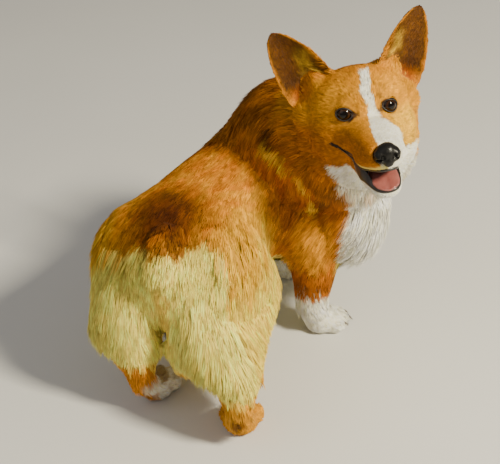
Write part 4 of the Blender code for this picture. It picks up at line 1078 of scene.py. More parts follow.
@dataclass
class LieLines:
    """The lie of the hair: short lines that the hair near them follows."""

    lay: Lay
    starts: list[Array] = field(default_factory=list)
    ends: list[Array] = field(default_factory=list)
    reach: list[float] = field(default_factory=list)

    def line(self, places: list[Array], reach: float) -> None:
        """Hair follows the line through these places, near it."""
        for start, end in zip(places[:-1], places[1:]):
            self.starts.append(np.asarray(start, float))
            self.ends.append(np.asarray(end, float))
            self.reach.append(reach)

    def trace(self) -> None:
        """Lay the lines over trunk, legs, neck and head."""
        on = self.lay.on_spine
        for out in (-0.03, 0.0, 0.03):
            back = [on(s, out, 0.262) for s in (0.25, 0.16, 0.08, 0.0)]
            self.line(back + [on(-0.06, out * 1.4, 0.235)], 0.040)
        for sign in (-1.0, 1.0):
            for places, reach in TRUNK_LIE:
                self.line([on(s, sign * out, z) for s, out, z in places], reach)
        self.trace_legs()
        self.trace_front()
        self.trace_head()

    def trace_legs(self) -> None:
        """Lay the lines down the four legs and over the paws, from the solids' boxes."""
        for side in Side:
            for upper, lower in (("pastern_rear_", "paw_rear_"), ("forearm_", "paw_front_")):
                low, high = (np.array(c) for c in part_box(upper + side.word))
                floor, top = (np.array(c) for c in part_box(lower + side.word))
                middle, foot = (low + high) / 2, (floor + top) / 2
                ahead = unit((foot - middle) * (1, 1, 0) + 1e-6)
                tip = foot + ahead * 0.030
                self.line([np.array((*middle[:2], high[2] + 0.01)), np.array((*middle[:2], low[2])),
                           np.array((*foot[:2], top[2] * 0.8)), np.array((*tip[:2], 0.004))], 0.024)
            low, high = (np.array(c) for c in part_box("upper_arm_" + side.word))
            middle = (low + high) / 2
            self.line([np.array((*middle[:2], high[2])), np.array((*middle[:2], low[2]))], 0.030)

    def trace_front(self) -> None:
        """Lay the lines down the neck, the throat and the chest."""
        on, head = self.lay.on_spine, self.lay.head
        for sign in (-1.0, 1.0):
            for start, places in NECK_LIE:
                below = [on(s, sign * out, z) for s, out, z in places]
                self.line([head(np.array(start) * (sign, 1, 1))] + below, 0.036)
        self.line([head((0.0, -0.095, 0.02)), on(0.25, 0.0, 0.300), on(0.20, 0.0, 0.275)], 0.040)
        self.line([head((0.0, -0.030, -0.085)), head((0.0, -0.060, -0.105)), on(0.335, 0.0, 0.20),
                   on(0.325, 0.0, 0.13), on(0.25, 0.0, 0.085)], 0.036)

    def trace_head(self) -> None:
        """Lay the lines over the face, the cheeks, the crown and the ears."""
        head = self.lay.head

        def put(places: list[tuple[float, float, float]], reach: float) -> None:
            self.line([head(p) for p in places], reach)

        put(list(NOSE_TO_NAPE), 0.012)
        for side in Side:
            k = side.value
            for places, reach in FACE_LIE:
                put([(k * x, y, z) for x, y, z in places], reach)
            place, tip = EAR_BASE * (k, 1, 1), EAR_TIP * (k, 1, 1)
            for shift in (-0.016, 0.0, 0.016):
                put([tuple(place + (shift, 0, -0.01)), tuple((place + tip) / 2 + (shift, 0, 0)),
                     tuple(tip + (shift * 0.3, 0, 0.004))], 0.016)

    def at(self, points: Array, normals: Array) -> Array:
        """The lie at each place: the mean of the lines' directions, each weighed by the bell
        of its distance over its reach, laid flat on the skin."""
        starts, ends = np.array(self.starts), np.array(self.ends)
        reach = np.array(self.reach)
        run = ends - starts
        size = (run**2).sum(1)
        total = np.zeros_like(points)
        for first in range(0, len(points), BLOCK):
            block = points[first:first + BLOCK]
            away = block[:, None, :] - starts[None]
            t = np.clip((away * run).sum(2) / size, 0.0, 1.0)
            gap = np.linalg.norm(away - run * t[..., None], axis=2)
            weight = np.exp(-((gap / reach) ** 2)) + 1e-7 / (gap / reach + 0.2) ** 4
            total[first:first + BLOCK] = weight @ unit(run)
        flat = total - normals * (total * normals).sum(1, keepdims=True)
        down = np.array((0.0, 0.0, -1.0)) - normals * -normals[:, 2:3]
        weak = step(np.linalg.norm(flat, axis=1) / (np.linalg.norm(total, axis=1) + 1e-12), 0.25, 0.02)
        return unit(blend(unit(flat), unit(down), weak * 0.7))


@dataclass
class Skin:
    """The one skin over all the flesh, and what the coat needs to know of it."""

    lay: Lay
    eyes: list[EyePlace]
    markings: Markings
    voxel: float = 0.0016
    swell: float = 0.0003
    ear_swell: float = 0.0014
    faces_left: int = 150000
    points: Array = None
    faces: Array = None
    normals: Array = None
    part: Array = None
    lie: Array = None
    unwrap: Array = None
    made: bpy.types.Object = None

    def build(self) -> bpy.types.Object:
        """Join the solids of flesh, draw one skin over them, even it, sink it and colour it."""
        points, faces, owner = self._solids()
        tree = tree_of(points, faces)
        self._draw_over(points, faces, np.char.startswith(np.array(FLESH), "ear")[owner])
        part_of_face = np.array(FLESH)[owner]
        hits = [tree.find_nearest(p)[2] for p in self.points.tolist()]
        self.part = part_of_face[np.array(hits)]
        self._sink()
        self._open_lids()
        self.normals = corner_normals(self.points, self.faces)
        lines = LieLines(self.lay)
        lines.trace()
        edges = edges_of(self.faces)
        lie = relaxed(lines.at(self.points, self.normals), edges, 0.5, 6)
        lie -= self.normals * (lie * self.normals).sum(1, keepdims=True)
        self.lie = unit(lie)
        return self._finish()

    def _solids(self) -> tuple[Array, Array, Array]:
        """All flesh as one set of points and triangles, swollen over the gaps, and each
        triangle's owner."""
        shapes, owner = [], []
        for index, name in enumerate(FLESH):
            points, faces = mesh_arrays(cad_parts[name].data)
            swell = self.ear_swell if name.startswith("ear") else self.swell
            shapes.append((points + corner_normals(points, faces) * swell, faces))
            owner.append(np.full(len(faces), index))
        return *joined(shapes), np.concatenate(owner)

    def _draw_over(self, points: Array, faces: Array, ears: Array) -> None:
        """One closed surface over all triangles, evened and thinned where the coat is long.

        The faces that ears marks stay thin and sharp at their rims; where they rise out of the
        head the surface is evened most.
        """
        tree = tree_of(points, faces[ears])
        made = mesh_object("skin", points, faces)
        applied(made, "REMESH", mode="VOXEL", voxel_size=self.voxel, adaptivity=0.0)
        points, faces = mesh_arrays(made.data)
        LOG.info("skin drawn: %d triangles", len(faces))
        local = self.lay.to_head(points)
        near = np.linalg.norm(local * (1.0, 0.85, 1.0) - (0, -0.02, -0.02), axis=1)
        face = step(near, 0.115, 0.090)
        high = np.flatnonzero((local[:, 2] > 0.0) & (np.abs(local[:, 0]) > 0.03))
        gap = np.ones(len(points))
        gap[high] = [tree.find_nearest(p)[3] for p in points[high].tolist()]
        flap, bulge = np.zeros(len(points)), np.zeros(len(points))
        for side in Side:
            _, up, _ = ear_place(local, side)
            mine = local[:, 0] * side.value > 0.0
            flap = np.maximum(flap, mine * step(gap, 0.0045, 0.0025) * step(up, 0.04, 0.16))
            away = np.linalg.norm(local - (side.value * 0.046, -0.066, 0.030), axis=1)
            bulge = np.maximum(bulge, step(away, 0.038, 0.024))
        foot = step(points[:, 2], 0.060, 0.036)
        keen = np.maximum.reduce([face, foot, flap])
        edges = edges_of(faces)
        points = relaxed(points, edges, 0.5 * (1.0 - keen), 34)
        points = relaxed(points, edges, 0.30 * (1.0 - np.maximum(flap, foot)), 9)
        for share in (0.5, -0.53) * 5:
            points = relaxed(points, edges, share * np.maximum(flap, foot), 1)
        points = relaxed(points, edges, 0.5 * bulge * (1.0 - flap), 40)
        bpy.data.objects.remove(made)
        made = mesh_object("skin", points, faces)
        group = made.vertex_groups.new(name="thin")
        levels = np.round(1.0 - 0.92 * keen, 1)
        for level in np.unique(levels):
            group.add(np.flatnonzero(levels == level).tolist(), float(level), "REPLACE")
        ratio = min(1.0, self.faces_left / len(faces))
        applied(made, "DECIMATE", ratio=ratio, vertex_group="thin")
        self.points, self.faces = mesh_arrays(made.data)
        LOG.info("skin thinned: %d triangles", len(self.faces))
        bpy.data.objects.remove(made)

    def _sink(self) -> None:
        """Sink the skin by the depth of the coat, which runs smoothly from part to part."""
        edges = edges_of(self.faces)
        depth = np.array([PELTS[stem(name)].depth for name in self.part])
        local = self.lay.to_head(self.points)
        muzzle = step(local[:, 1], 0.0, 0.03) * (self.part == "head")
        cheek = step(local[:, 1], -0.035, -0.085) * (self.part == "head")
        depth = depth * (1.0 - 0.5 * muzzle) + 0.0030 * cheek
        depth = relaxed(depth, edges, 0.6, 30)
        normals = relaxed(corner_normals(self.points, self.faces), edges, 0.5, 3)
        self.points = self.points - unit(normals) * depth[:, None]
        self.points[:, 2] = np.maximum(self.points[:, 2], 0.0004)
        self.points = relaxed(self.points, edges, 0.25, 2)

    def _open_lids(self) -> None:
        """Draw the skin inside the eyeballs wherever it would cover them between the lids."""
        for eye in self.eyes:
            far, angle, bearing = eye.polar(self.points)
            edge = eye.rim(bearing)
            cover = (far < 0.0165) & (angle < edge + 0.03)
            self.points[cover] = eye.at(np.full(cover.sum(), EYE_RADIUS - 0.0012), angle[cover],
                                        bearing[cover])
            lid = (far > EYE_RADIUS * 0.55) & (far < EYE_RADIUS + 0.0012) & ~cover & (angle < edge + 0.30)
            self.points[lid] = eye.at(np.full(lid.sum(), EYE_RADIUS + 0.0011), angle[lid], bearing[lid])

    def _finish(self) -> bpy.types.Object:
        """The skin as an object with its unwrap, colours and finish."""
        self.made = mesh_object("skin", self.points, self.faces)
        mesh = self.made.data
        put_colour(mesh, self.markings.at(self.points, self.normals, self.part) * 0.9)
        bpy.context.view_layer.objects.active = self.made
        self.made.select_set(True)
        mesh.uv_layers.new(name="OFBake")
        bpy.ops.object.mode_set(mode="EDIT")
        bpy.ops.mesh.select_all(action="SELECT")
        bpy.ops.uv.smart_project(angle_limit=math.radians(72), island_margin=0.002)
        bpy.ops.object.mode_set(mode="OBJECT")
        places = np.empty(len(mesh.loops) * 2, np.float32)
        mesh.uv_layers["OFBake"].data.foreach_get("uv", places)
        self.unwrap = places.reshape(-1, 3, 2)
        mesh.materials.append(SkinFinish().material())
        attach(self.made, "root")
        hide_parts(*FLESH)
        return self.made


@dataclass
class Roots:
    """Where tufts stand: places, normals, lie, part, place on the unwrap and sizes."""

    place: Array
    normal: Array
    lie: Array
    part: Array
    spot: Array
    length: Array
    width: Array
    rise: Array


@dataclass
class Coat:
    """The hair of the dog: tufts over the skin, in one piece for each part of the body."""

    skin: Skin
    lay: Lay
    eyes: list[EyePlace]
    markings: Markings
    nose_tree: BVHTree
    patch: float = 0.003

    def build(self) -> list[bpy.types.Object]:
        """Grow the coat on every part.

        Returns:
            The pieces of the coat.
        """
        rng = np.random.default_rng(SEED)
        finish = CoatFinish().material()
        pieces = []
        stems = np.array([stem(name) for name in self.skin.part])
        face_stem = stems[self.skin.faces[:, 0]]
        for name, pelt in PELTS.items():
            count = pelt.count * (2 if name in TWO_SIDED else 1) // 1
            roots = self._roots(name, pelt, face_stem == name, count, rng)
            for number, share in enumerate(self._shares(roots, pelt)):
                label = f"coat_{name}_{number + 1}"
                piece = self._piece(label, share, pelt, rng)
                piece.data.materials.append(finish)
                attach(piece, "root")
                pieces.append(piece)
                LOG.info("%s: %d triangles", label, len(piece.data.polygons))
        return pieces

    def _shares(self, roots: Roots, pelt: Pelt) -> list[Roots]:
        """Roots in shares that each stay under the most triangles for a piece, cut across the floor."""
        parts = max(1, math.ceil(len(roots.place) * pelt.triangles / MOST_TRIANGLES))
        order = np.argsort(roots.place[:, 0] * 0.8 + roots.place[:, 1])
        return [Roots(*(getattr(roots, key)[rows] for key in Roots.__dataclass_fields__))
                for rows in np.array_split(order, parts)]

    def _roots(self, name: str, pelt: Pelt, mine: Array, count: int, rng: np.random.Generator) -> Roots:
        """Spread roots over the faces of one part, by area, and size the tuft at each."""
        skin = self.skin
        rows = np.flatnonzero(mine)
        corners = skin.points[skin.faces[rows]]
        first, second, third = corners.transpose(1, 0, 2)
        area = np.linalg.norm(np.cross(second - first, third - first), axis=1)
        middle = corners.mean(1)
        crowd = self._crowding(name, middle, skin.normals[skin.faces[rows, 0]])
        chance = area * crowd
        pick = rng.choice(len(rows), count, p=chance / chance.sum())
        a, b = rng.random((2, count))
        flip = a + b > 1
        a[flip], b[flip] = 1 - a[flip], 1 - b[flip]
        share = np.stack((1 - a - b, a, b), 1)[..., None]
        chosen = rows[pick]
        trio = skin.faces[chosen]
        place = (skin.points[trio] * share).sum(1)
        normal = unit((skin.normals[trio] * share).sum(1))
        lie = unit((skin.lie[trio] * share).sum(1))
        spot = (skin.unwrap[chosen] * share).sum(1)
        part = skin.part[trio[:, 0]]
        length, width, rise = self._sizes(name, pelt, place, normal, part, rng)
        return Roots(place, normal, lie, part, spot, length, width, rise)

    def _crowding(self, name: str, places: Array, normals: Array) -> Array:
        """How densely the tufts stand: none on eyes, lips, nose and soles, most on the face."""
        crowd = np.ones(len(places))
        crowd[places[:, 2] < 0.0022] = 0.0
        if name != "head" and name != "ear":
            return crowd
        local = self.lay.to_head(places)
        if name == "head":
            crowd *= 1.0 + 1.6 * step(local[:, 1], -0.02, 0.03) - 0.35 * step(local[:, 1], -0.05, -0.09)
            lips = mouth_gap(local, 0.0017) & ((local[:, 0] < 0.0) | (local[:, 1] > 0.030))
            crowd[lips | lip_band(local)] = 0.0
            near_nose = np.array([self.nose_tree.find_nearest(p, 0.004)[3] or 1.0 for p in places.tolist()])
            crowd[near_nose < 0.0011] = 0.0
            for eye in self.eyes:
                far, angle, bearing = eye.polar(places)
                bare = (far < 0.0175) & (angle < eye.rim(bearing) + 0.15)
                crowd[bare | (far < EYE_RADIUS + 0.0009)] = 0.0
        else:
            for side in Side:
                across, _, _ = ear_place(local, side)
                face = self.lay.axes @ ear_front(side)
                hollow = (normals @ face > 0.3) & (np.abs(across) < 0.62) & (local[:, 0] * side.value > 0)
                crowd[hollow] *= 0.55
        return crowd

    def _sizes(self, name: str, pelt: Pelt, place: Array, normal: Array, part: Array,
               rng: np.random.Generator) -> tuple[Array, Array, Array]:
        """The length, width and rise of each tuft."""
        count = len(place)
        length = pelt.length * rng.uniform(0.75, 1.25, count)
        width = pelt.width * rng.uniform(0.75, 1.25, count)
        rise = pelt.rise * rng.uniform(0.7, 1.3, count)
        local = self.lay.to_head(place)
        if name == "head":
            muzzle = step(local[:, 1], -0.012, 0.030)
            cheek = step(local[:, 1], -0.030, -0.085) * step(local[:, 2], 0.02, -0.02)
            grow = (1.0 - 0.55 * muzzle) * (1.0 + 1.2 * cheek)
            length *= grow
            width *= (1.0 - 0.38 * muzzle) * (1.0 + 0.45 * cheek)
            rise *= (1.0 - 0.6 * muzzle) * (1.0 + 1.6 * cheek)
            top, _ = lip_levels(local)
            lip = step(np.abs(local[:, 2] - top), 0.013, 0.005) * step(local[:, 1], -0.022, -0.010)
            length *= 1.0 - 0.62 * lip
            rise *= 1.0 - 0.55 * lip
            for eye in self.eyes:
                far, _, _ = eye.polar(place)
                small = 1.0 - 0.5 * step(far, 0.024, 0.013)
                length *= small
                width *= 0.3 + 0.7 * small
                rise *= small
        if name == "ear":
            for side in Side:
                across, up, _ = ear_place(local, side)
                face = self.lay.axes @ ear_front(side)
                inner = step(normal @ face, 0.1, 0.5) * (part == "ear_" + side.word)
                pale = inner * step(across, -0.3, -0.65) * step(up, 0.8, 0.3)
                mine = local[:, 0] * side.value > 0
                rim = np.maximum(step(up, 0.70, 0.92), step(np.abs(across), 0.72, 0.95)) * mine
                length *= (1.0 - 0.35 * inner + 1.1 * pale) * (1.0 - 0.60 * rim)
                rise *= 1.0 + 2.4 * pale
        if name in ("torso", "neck"):
            belly = step(place[:, 2], 0.13, 0.10)
            length *= 1.0 - 0.25 * belly
        if name == "thigh":
            back = step(normal @ unit(np.array((0.14, 0.99, 0.0))), -0.35, 0.35)
            hem = step(place[:, 2], 0.13, 0.09)
            length *= (0.62 + 0.38 * back) * (1.0 - 0.50 * hem)
            rise *= (0.75 + 0.35 * back) * (1.0 - 0.40 * hem)
        if name == "chest":
            length *= 0.75 + 0.45 * step(normal @ heading_axes(74.0)[0], 0.0, 0.6)
        return length, width, rise

    def _clumps(self, roots: Roots, size: int, rng: np.random.Generator) -> Array:
        """For each tuft the number of the tuft that its clump gathers round."""
        heads = rng.choice(len(roots.place), max(4, len(roots.place) // size), replace=False)
        tree = KDTree(len(heads))
        for number, place in zip(heads.tolist(), roots.place[heads].tolist()):
            tree.insert(place, number)
        tree.balance()
        return np.array([tree.find(p)[1] for p in roots.place.tolist()])

    def _piece(self, label: str, roots: Roots, pelt: Pelt, rng: np.random.Generator) -> bpy.types.Object:
        """One piece of coat: each tuft is a closed spindle of three sides.

        Its middle line is root + lie L t + normal R (1 - (1 - t)^2) + side C t^2, sagging with
        its length, and drawn towards the tip of its clump by clump t^1.5. It is pointed at both
        ends, and its rings of three corners stand at 0.40 of a short tuft's length, or at 0.30
        and 0.70 of a long one's.
        """
        count = len(roots.place)
        side = unit(np.cross(roots.lie, roots.normal))
        sway = ripple(roots.place, 0.035, 21) * 0.14 + rng.normal(0.0, 0.07, count)
        lie = unit(roots.lie + side * sway[:, None])
        side = unit(np.cross(lie, roots.normal))
        curl = rng.normal(0.0, 0.08, count) * roots.length
        steps = np.array((0.0, 0.30, 0.70, 1.0) if pelt.long else (0.0, 0.40, 1.0))
        sag = np.array((0.0, 0.0, -1.0)) * (roots.length**2 * 3.0)[:, None]
        root = roots.place - roots.normal * 0.0004

        def line(t: float) -> Array:
            return (root + lie * (roots.length * t)[:, None]
                    + roots.normal * (roots.rise * (1.0 - (1.0 - t) ** 2))[:, None]
                    + side * (curl * t * t)[:, None] + sag * t * t)

        tips = line(1.0)
        gather = self._clumps(roots, 9 if pelt.long else 7, rng)
        pull = (tips[gather] - tips) * pelt.clump
        far = np.linalg.norm(tips[gather] - tips, axis=1)
        pull *= step(far, 0.030, 0.016)[:, None]
        middles = np.stack([line(t) + pull * t**1.5 for t in steps], 1)
        middles[:, :, 2] = np.maximum(middles[:, :, 2], 0.0009)
        runs = np.gradient(middles, axis=1)
        across = unit(np.cross(runs, roots.normal[:, None, :]))
        lift = unit(np.cross(across, runs))
        swell = np.array((1.0, 0.78) if pelt.long else (1.0,))
        rings = len(swell)
        wide = roots.width[:, None, None] * swell[None, :, None] * 0.5
        inner, across, lift = middles[:, 1:-1], across[:, 1:-1], lift[:, 1:-1]
        trio = np.stack((inner - across * wide, inner + across * wide, inner + lift * wide * 0.62), 2)
        points = np.concatenate([middles[:, :1], trio.reshape(count, rings * 3, 3), middles[:, -1:]], 1)
        sides = ((1, 0), (0, 2), (2, 1))
        pattern = [(0, 1 + b, 1 + a) for a, b in sides]
        for ring in range(rings - 1):
            low, high = 1 + ring * 3, 4 + ring * 3
            for a, b in sides:
                pattern += [(low + a, low + b, high + b), (low + a, high + b, high + a)]
        last, tip = rings * 3 - 2, rings * 3 + 1
        pattern += [(last + a, last + b, tip) for a, b in sides]
        each = rings * 3 + 2
        faces = (np.array(pattern)[None] + (np.arange(count) * each)[:, None, None]).reshape(-1, 3)
        made = mesh_object(label, points.reshape(-1, 3), faces)
        self._dress(made, roots, steps, across, lift, faces, gather, rng)
        return made

    def _dress(self, made: bpy.types.Object, roots: Roots, steps: Array, across: Array, lift: Array,
               faces: Array, gather: Array, rng: np.random.Generator) -> None:
        """Give a piece its colours, its soft normals and its place on the unwrap."""
        count, rings = len(roots.place), len(steps) - 2
        base = self.markings.at(roots.place, roots.normal, roots.part)
        spread = 0.16 + 0.5 * np.clip(roots.length - 0.008, 0.0, 0.022) / 0.1
        shade = rng.normal(0.0, 0.08, count) + rng.normal(0.0, 1.0, count)[gather] * spread
        shade = np.exp(np.clip(shade, -0.6, 0.4))[:, None]
        green, blue = 1.0 + rng.normal(0, 0.03, count), 1.0 + rng.normal(0, 0.06, count)
        warm = np.column_stack((np.ones(count), green, blue))
        base = np.clip(base * shade * warm, 0.003, 0.93)
        along = np.interp(steps, (0, 0.3, 0.7, 1), (0.78, 0.92, 1.0, 1.08))
        tones = np.concatenate([along[:1], np.repeat(along[1:-1], 3), along[-1:]])
        colours = base[:, None, :] * tones[None, :, None]
        put_colour(made.data, np.clip(colours.reshape(-1, 3), 0.0, 0.95))
        soft = roots.normal[:, None, :]
        turn = np.stack((soft - across * 0.50, soft + across * 0.50, soft + lift * 0.4), 2)
        normals = unit(np.concatenate([soft, turn.reshape(count, rings * 3, 3), soft], 1)).reshape(-1, 3)
        made.data.normals_split_custom_set_from_vertices(normals.tolist())
        offsets = [(0.0, 0.0)] + [(u, v) for v in steps[1:-1] for u in (-0.5, 0.5, 0.0)] + [(0.0, 1.0)]
        spread = (np.array(offsets) - (0.0, 0.5)) * self.patch
        spots = (roots.spot[:, None, :] + spread[None]).reshape(-1, 2)
        put_map(made.data, np.clip(spots, 0.0, 1.0)[faces.ravel()])


TWO_SIDED = ("ear", "thigh", "pastern_rear", "paw_rear", "upper_arm", "forearm", "paw_front")


@dataclass
class Eyes:
    """Both eyeballs with their lids' dark rims."""

    places: list[EyePlace]
    rows: int = 44
    around: int = 72

    def build(self) -> list[bpy.types.Object]:
        """Both eyes and rims.

        Returns:
            The pieces.
        """
        wet = EyeFinish().material()
        hide = HideFinish("lid_rim", (0.004, 0.003, 0.003), (0.018, 0.011, 0.008), 0.52).material()
        made = []
        for place in self.places:
            ball = self._ball(place)
            ball.data.materials.append(wet)
            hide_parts("eye_" + place.side.word)
            rim = self._rim(place)
            rim.data.materials.append(hide)
            for piece, slot in ((ball, "eye_brown"), (rim, "nose_black")):
                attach(piece, "root")
                made.append(piece)
        return made

    def _ball(self, eye: EyePlace) -> bpy.types.Object:
        """An eyeball: a ball whose front rises by 0.4 mm exp(-(a / 0.55)^4) at angle a."""
        angle = np.linspace(0.03, math.pi - 0.03, self.rows)[:, None]
        bearing = round_turns(self.around)[None]
        radius = EYE_RADIUS - 0.0002 + 0.0004 * np.exp(-((angle / 0.55) ** 4)) + 0.0 * bearing
        points = eye.at(radius, angle + 0.0 * bearing, bearing + 0.0 * angle).reshape(-1, 3)
        points, faces = capped(points, self.rows, self.around)
        made = mesh_object(f"eye_{eye.side.word}_ball", points, outward(points, faces))
        _, turn, around = eye.polar(points)
        put_vectors(made.data, np.column_stack((np.cos(around), np.sin(around), turn)), "iris")
        return made

    def _rim(self, eye: EyePlace) -> bpy.types.Object:
        """The lids' bare edge: a closed loop of a rounded section along the almond.

        The section runs from the eyeball out over the edge and under the hair; its width is
        0.16 rad and its height 1.3 mm over the ball, both larger at the inner corner.
        """
        bearing = round_turns(96)[:, None]
        edge = eye.rim(bearing)
        inner = hump(np.cos(bearing) * eye.side.value, -1.0, 0.30)
        profile = np.array(((0.000, 0.0001), (-0.020, 0.0004), (-0.010, 0.0009), (0.020, 0.0012),
                            (0.055, 0.0013), (0.100, 0.0011), (0.145, 0.0004), (0.180, -0.0006),
                            (0.100, -0.0010), (0.030, -0.0006)))
        angle = edge + profile[None, :, 0] * (1.0 + 0.8 * inner)
        far = EYE_RADIUS + profile[None, :, 1] + 0.0 * edge
        points = eye.at(far, angle, bearing + 0.0 * angle).reshape(-1, 3)
        faces = halved(grid_faces(96, len(profile), True))
        return mesh_object(f"lids_{eye.side.word}", points, outward(points, faces))


@dataclass
class Nose:
    """The nose leather, drawn finer over its solid."""

    voxel: float = 0.00055

    def build(self) -> bpy.types.Object:
        """The nose, with its nostrils."""
        points, faces = mesh_arrays(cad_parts["nose"].data)
        made = mesh_object("nose_leather", points, faces)
        applied(made, "REMESH", mode="VOXEL", voxel_size=self.voxel, adaptivity=0.0)
        points, faces = mesh_arrays(made.data)
        points = relaxed(points, edges_of(faces), 0.45, 9)
        bpy.data.objects.remove(made)
        made = mesh_object("nose_leather", points, outward(points, faces))
        made.data.materials.append(NoseFinish().material())
        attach(made, "root")
        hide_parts("nose")
        return made


@dataclass
class Mouth:
    """Lips and tongue."""

    lay: Lay
    skin: Skin

    def build(self) -> list[bpy.types.Object]:
        """The lips and the tongue."""
        tree = tree_of(self.skin.points, self.skin.faces)
        hide = HideFinish("lip_black", (0.006, 0.005, 0.005), (0.028, 0.018, 0.016), 0.36).material()
        made = []
        for name, lower, lift in (("lip_upper", 0, 0.0012), ("lip_lower", 1, -0.0012)):
            piece = self._lip(name, tree, lower, lift)
            piece.data.materials.append(hide)
            made.append(piece)
        tongue = self._tongue()
        tongue.data.materials.append(TongueFinish().material())
        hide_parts("tongue")
        made.append(tongue)
        for piece in made:
            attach(piece, "root")
        return made

    def _lip(self, name: str, tree: BVHTree, lower: int, lift: float) -> bpy.types.Object:
        """A lip: a flattened tube along the edge of the mouth, where rays from outside in meet
        the skin just beyond the edge. It thins towards both corners."""
        path = []
        for turn in np.radians(np.linspace(-130.0, 72.0, 102)):
            aim = np.array((math.sin(turn), math.cos(turn), 0.0))
            upper = self._meet(tree, aim, 0, 0.0012)
            if upper is None or (upper[0] < 0 and upper[1] < MOUTH[0][0] + 0.0005):
                continue
            edge, half = upper, 0.0020
            if lower:
                out = float(step(np.array(upper[1]), 0.058, 0.040)) * (upper[0] < 0)
                edge = self._meet(tree, aim, 1, -0.0012)
                if edge is None and out < 0.9:
                    continue
                edge = upper if edge is None else edge
                deep = by_table(upper[1], MOUTH_OPENING) * 0.80
                level = edge[2] + out * (upper[2] - 0.0014 - deep * 0.5 - edge[2])
                edge = np.array((*(edge[:2] + out * (upper[:2] - edge[:2])), level))
                half = 0.0024 + out * (max(0.0020, deep * 0.5 + 0.0005) - 0.0024)
            path.append(np.array((*edge, half)))
        path = evened(np.array(path), 6)
        away = unit((path[:, :3] - (0.0, 0.02, 0.0)) * (1.0, 1.0, 0.0))
        tall = path[:, 3:]
        path = path[:, :3] + away * (0.0004 if lower else -0.0005) - np.array((0, 0, lift * 0.6))
        run = unit(np.gradient(path, axis=0))
        rise = unit(np.cross(run, away))
        t = np.linspace(-1.0, 1.0, len(path))
        thin = (1.0 - np.abs(t) ** 4 * 0.7)[:, None, None]
        turn = round_turns(12)
        ring = away[:, None] * np.cos(turn)[None, :, None] * 0.0017
        ring = ring + rise[:, None] * np.sin(turn)[None, :, None] * tall[:, None]
        points = self.lay.head((path[:, None] + ring * thin).reshape(-1, 3))
        points, faces = capped(points, len(path), 12)
        return mesh_object(name, points, outward(points, faces))

    def _meet(self, tree: BVHTree, aim: Array, lower: int, lift: float) -> Array | None:
        """Where a level ray from outside meets the skin at the height of a lip's edge."""
        place = MOUTH_MIDDLE + aim * 0.040
        for _ in range(4):
            start = MOUTH_MIDDLE + UP * (float(lip_levels(place)[lower]) + lift) + aim * 0.09
            found = tree.ray_cast(Vector(self.lay.head(start)), Vector(self.lay.axes @ -aim))
            if found[0] is None:
                return None
            place = self.lay.to_head(np.array(found[0]))
        return place if np.linalg.norm((place - MOUTH_MIDDLE)[:2]) > 0.018 else None

    def _tongue(self) -> bpy.types.Object:
        """The tongue: ovals along its middle line, cupped, with a groove exp(-(x/2.6 mm)^2)
        down the middle and a rounded, slightly lifted tip."""
        rows = np.array(((0.010, -0.0545, 0.0060, 0.0014), (0.018, -0.0580, 0.0128, 0.0034),
                         (0.032, -0.0655, 0.0162, 0.0042), (0.046, -0.0725, 0.0174, 0.0042),
                         (0.056, -0.0775, 0.0168, 0.0038), (0.0630, -0.0806, 0.0138, 0.0030),
                         (0.0668, -0.0820, 0.0090, 0.0020), (0.0682, -0.0826, 0.0040, 0.0010)))
        t = np.linspace(0.0, len(rows) - 1.0, 60)
        ahead, height, half, thick = (evened(np.interp(t, np.arange(len(rows)), row), 4) for row in rows.T)
        turn = round_turns(48)
        x = half[:, None] * np.sign(np.cos(turn)) * np.abs(np.cos(turn)) ** 0.85
        z = thick[:, None] * np.sin(turn)[None]
        cup = 0.0016 * (x / np.maximum(half[:, None], 1e-6)) ** 2
        groove = 0.0017 * np.exp(-((x / 0.0026) ** 2)) * (np.sin(turn)[None] > -0.2)
        z = height[:, None] + z + cup - groove * step(half, 0.003, 0.012)[:, None]
        places = np.stack((x, np.broadcast_to(ahead[:, None], x.shape), z), -1).reshape(-1, 3)
        points, faces = capped(self.lay.head(places), 60, 48)
        return mesh_object("tongue_flesh", points, outward(points, faces))


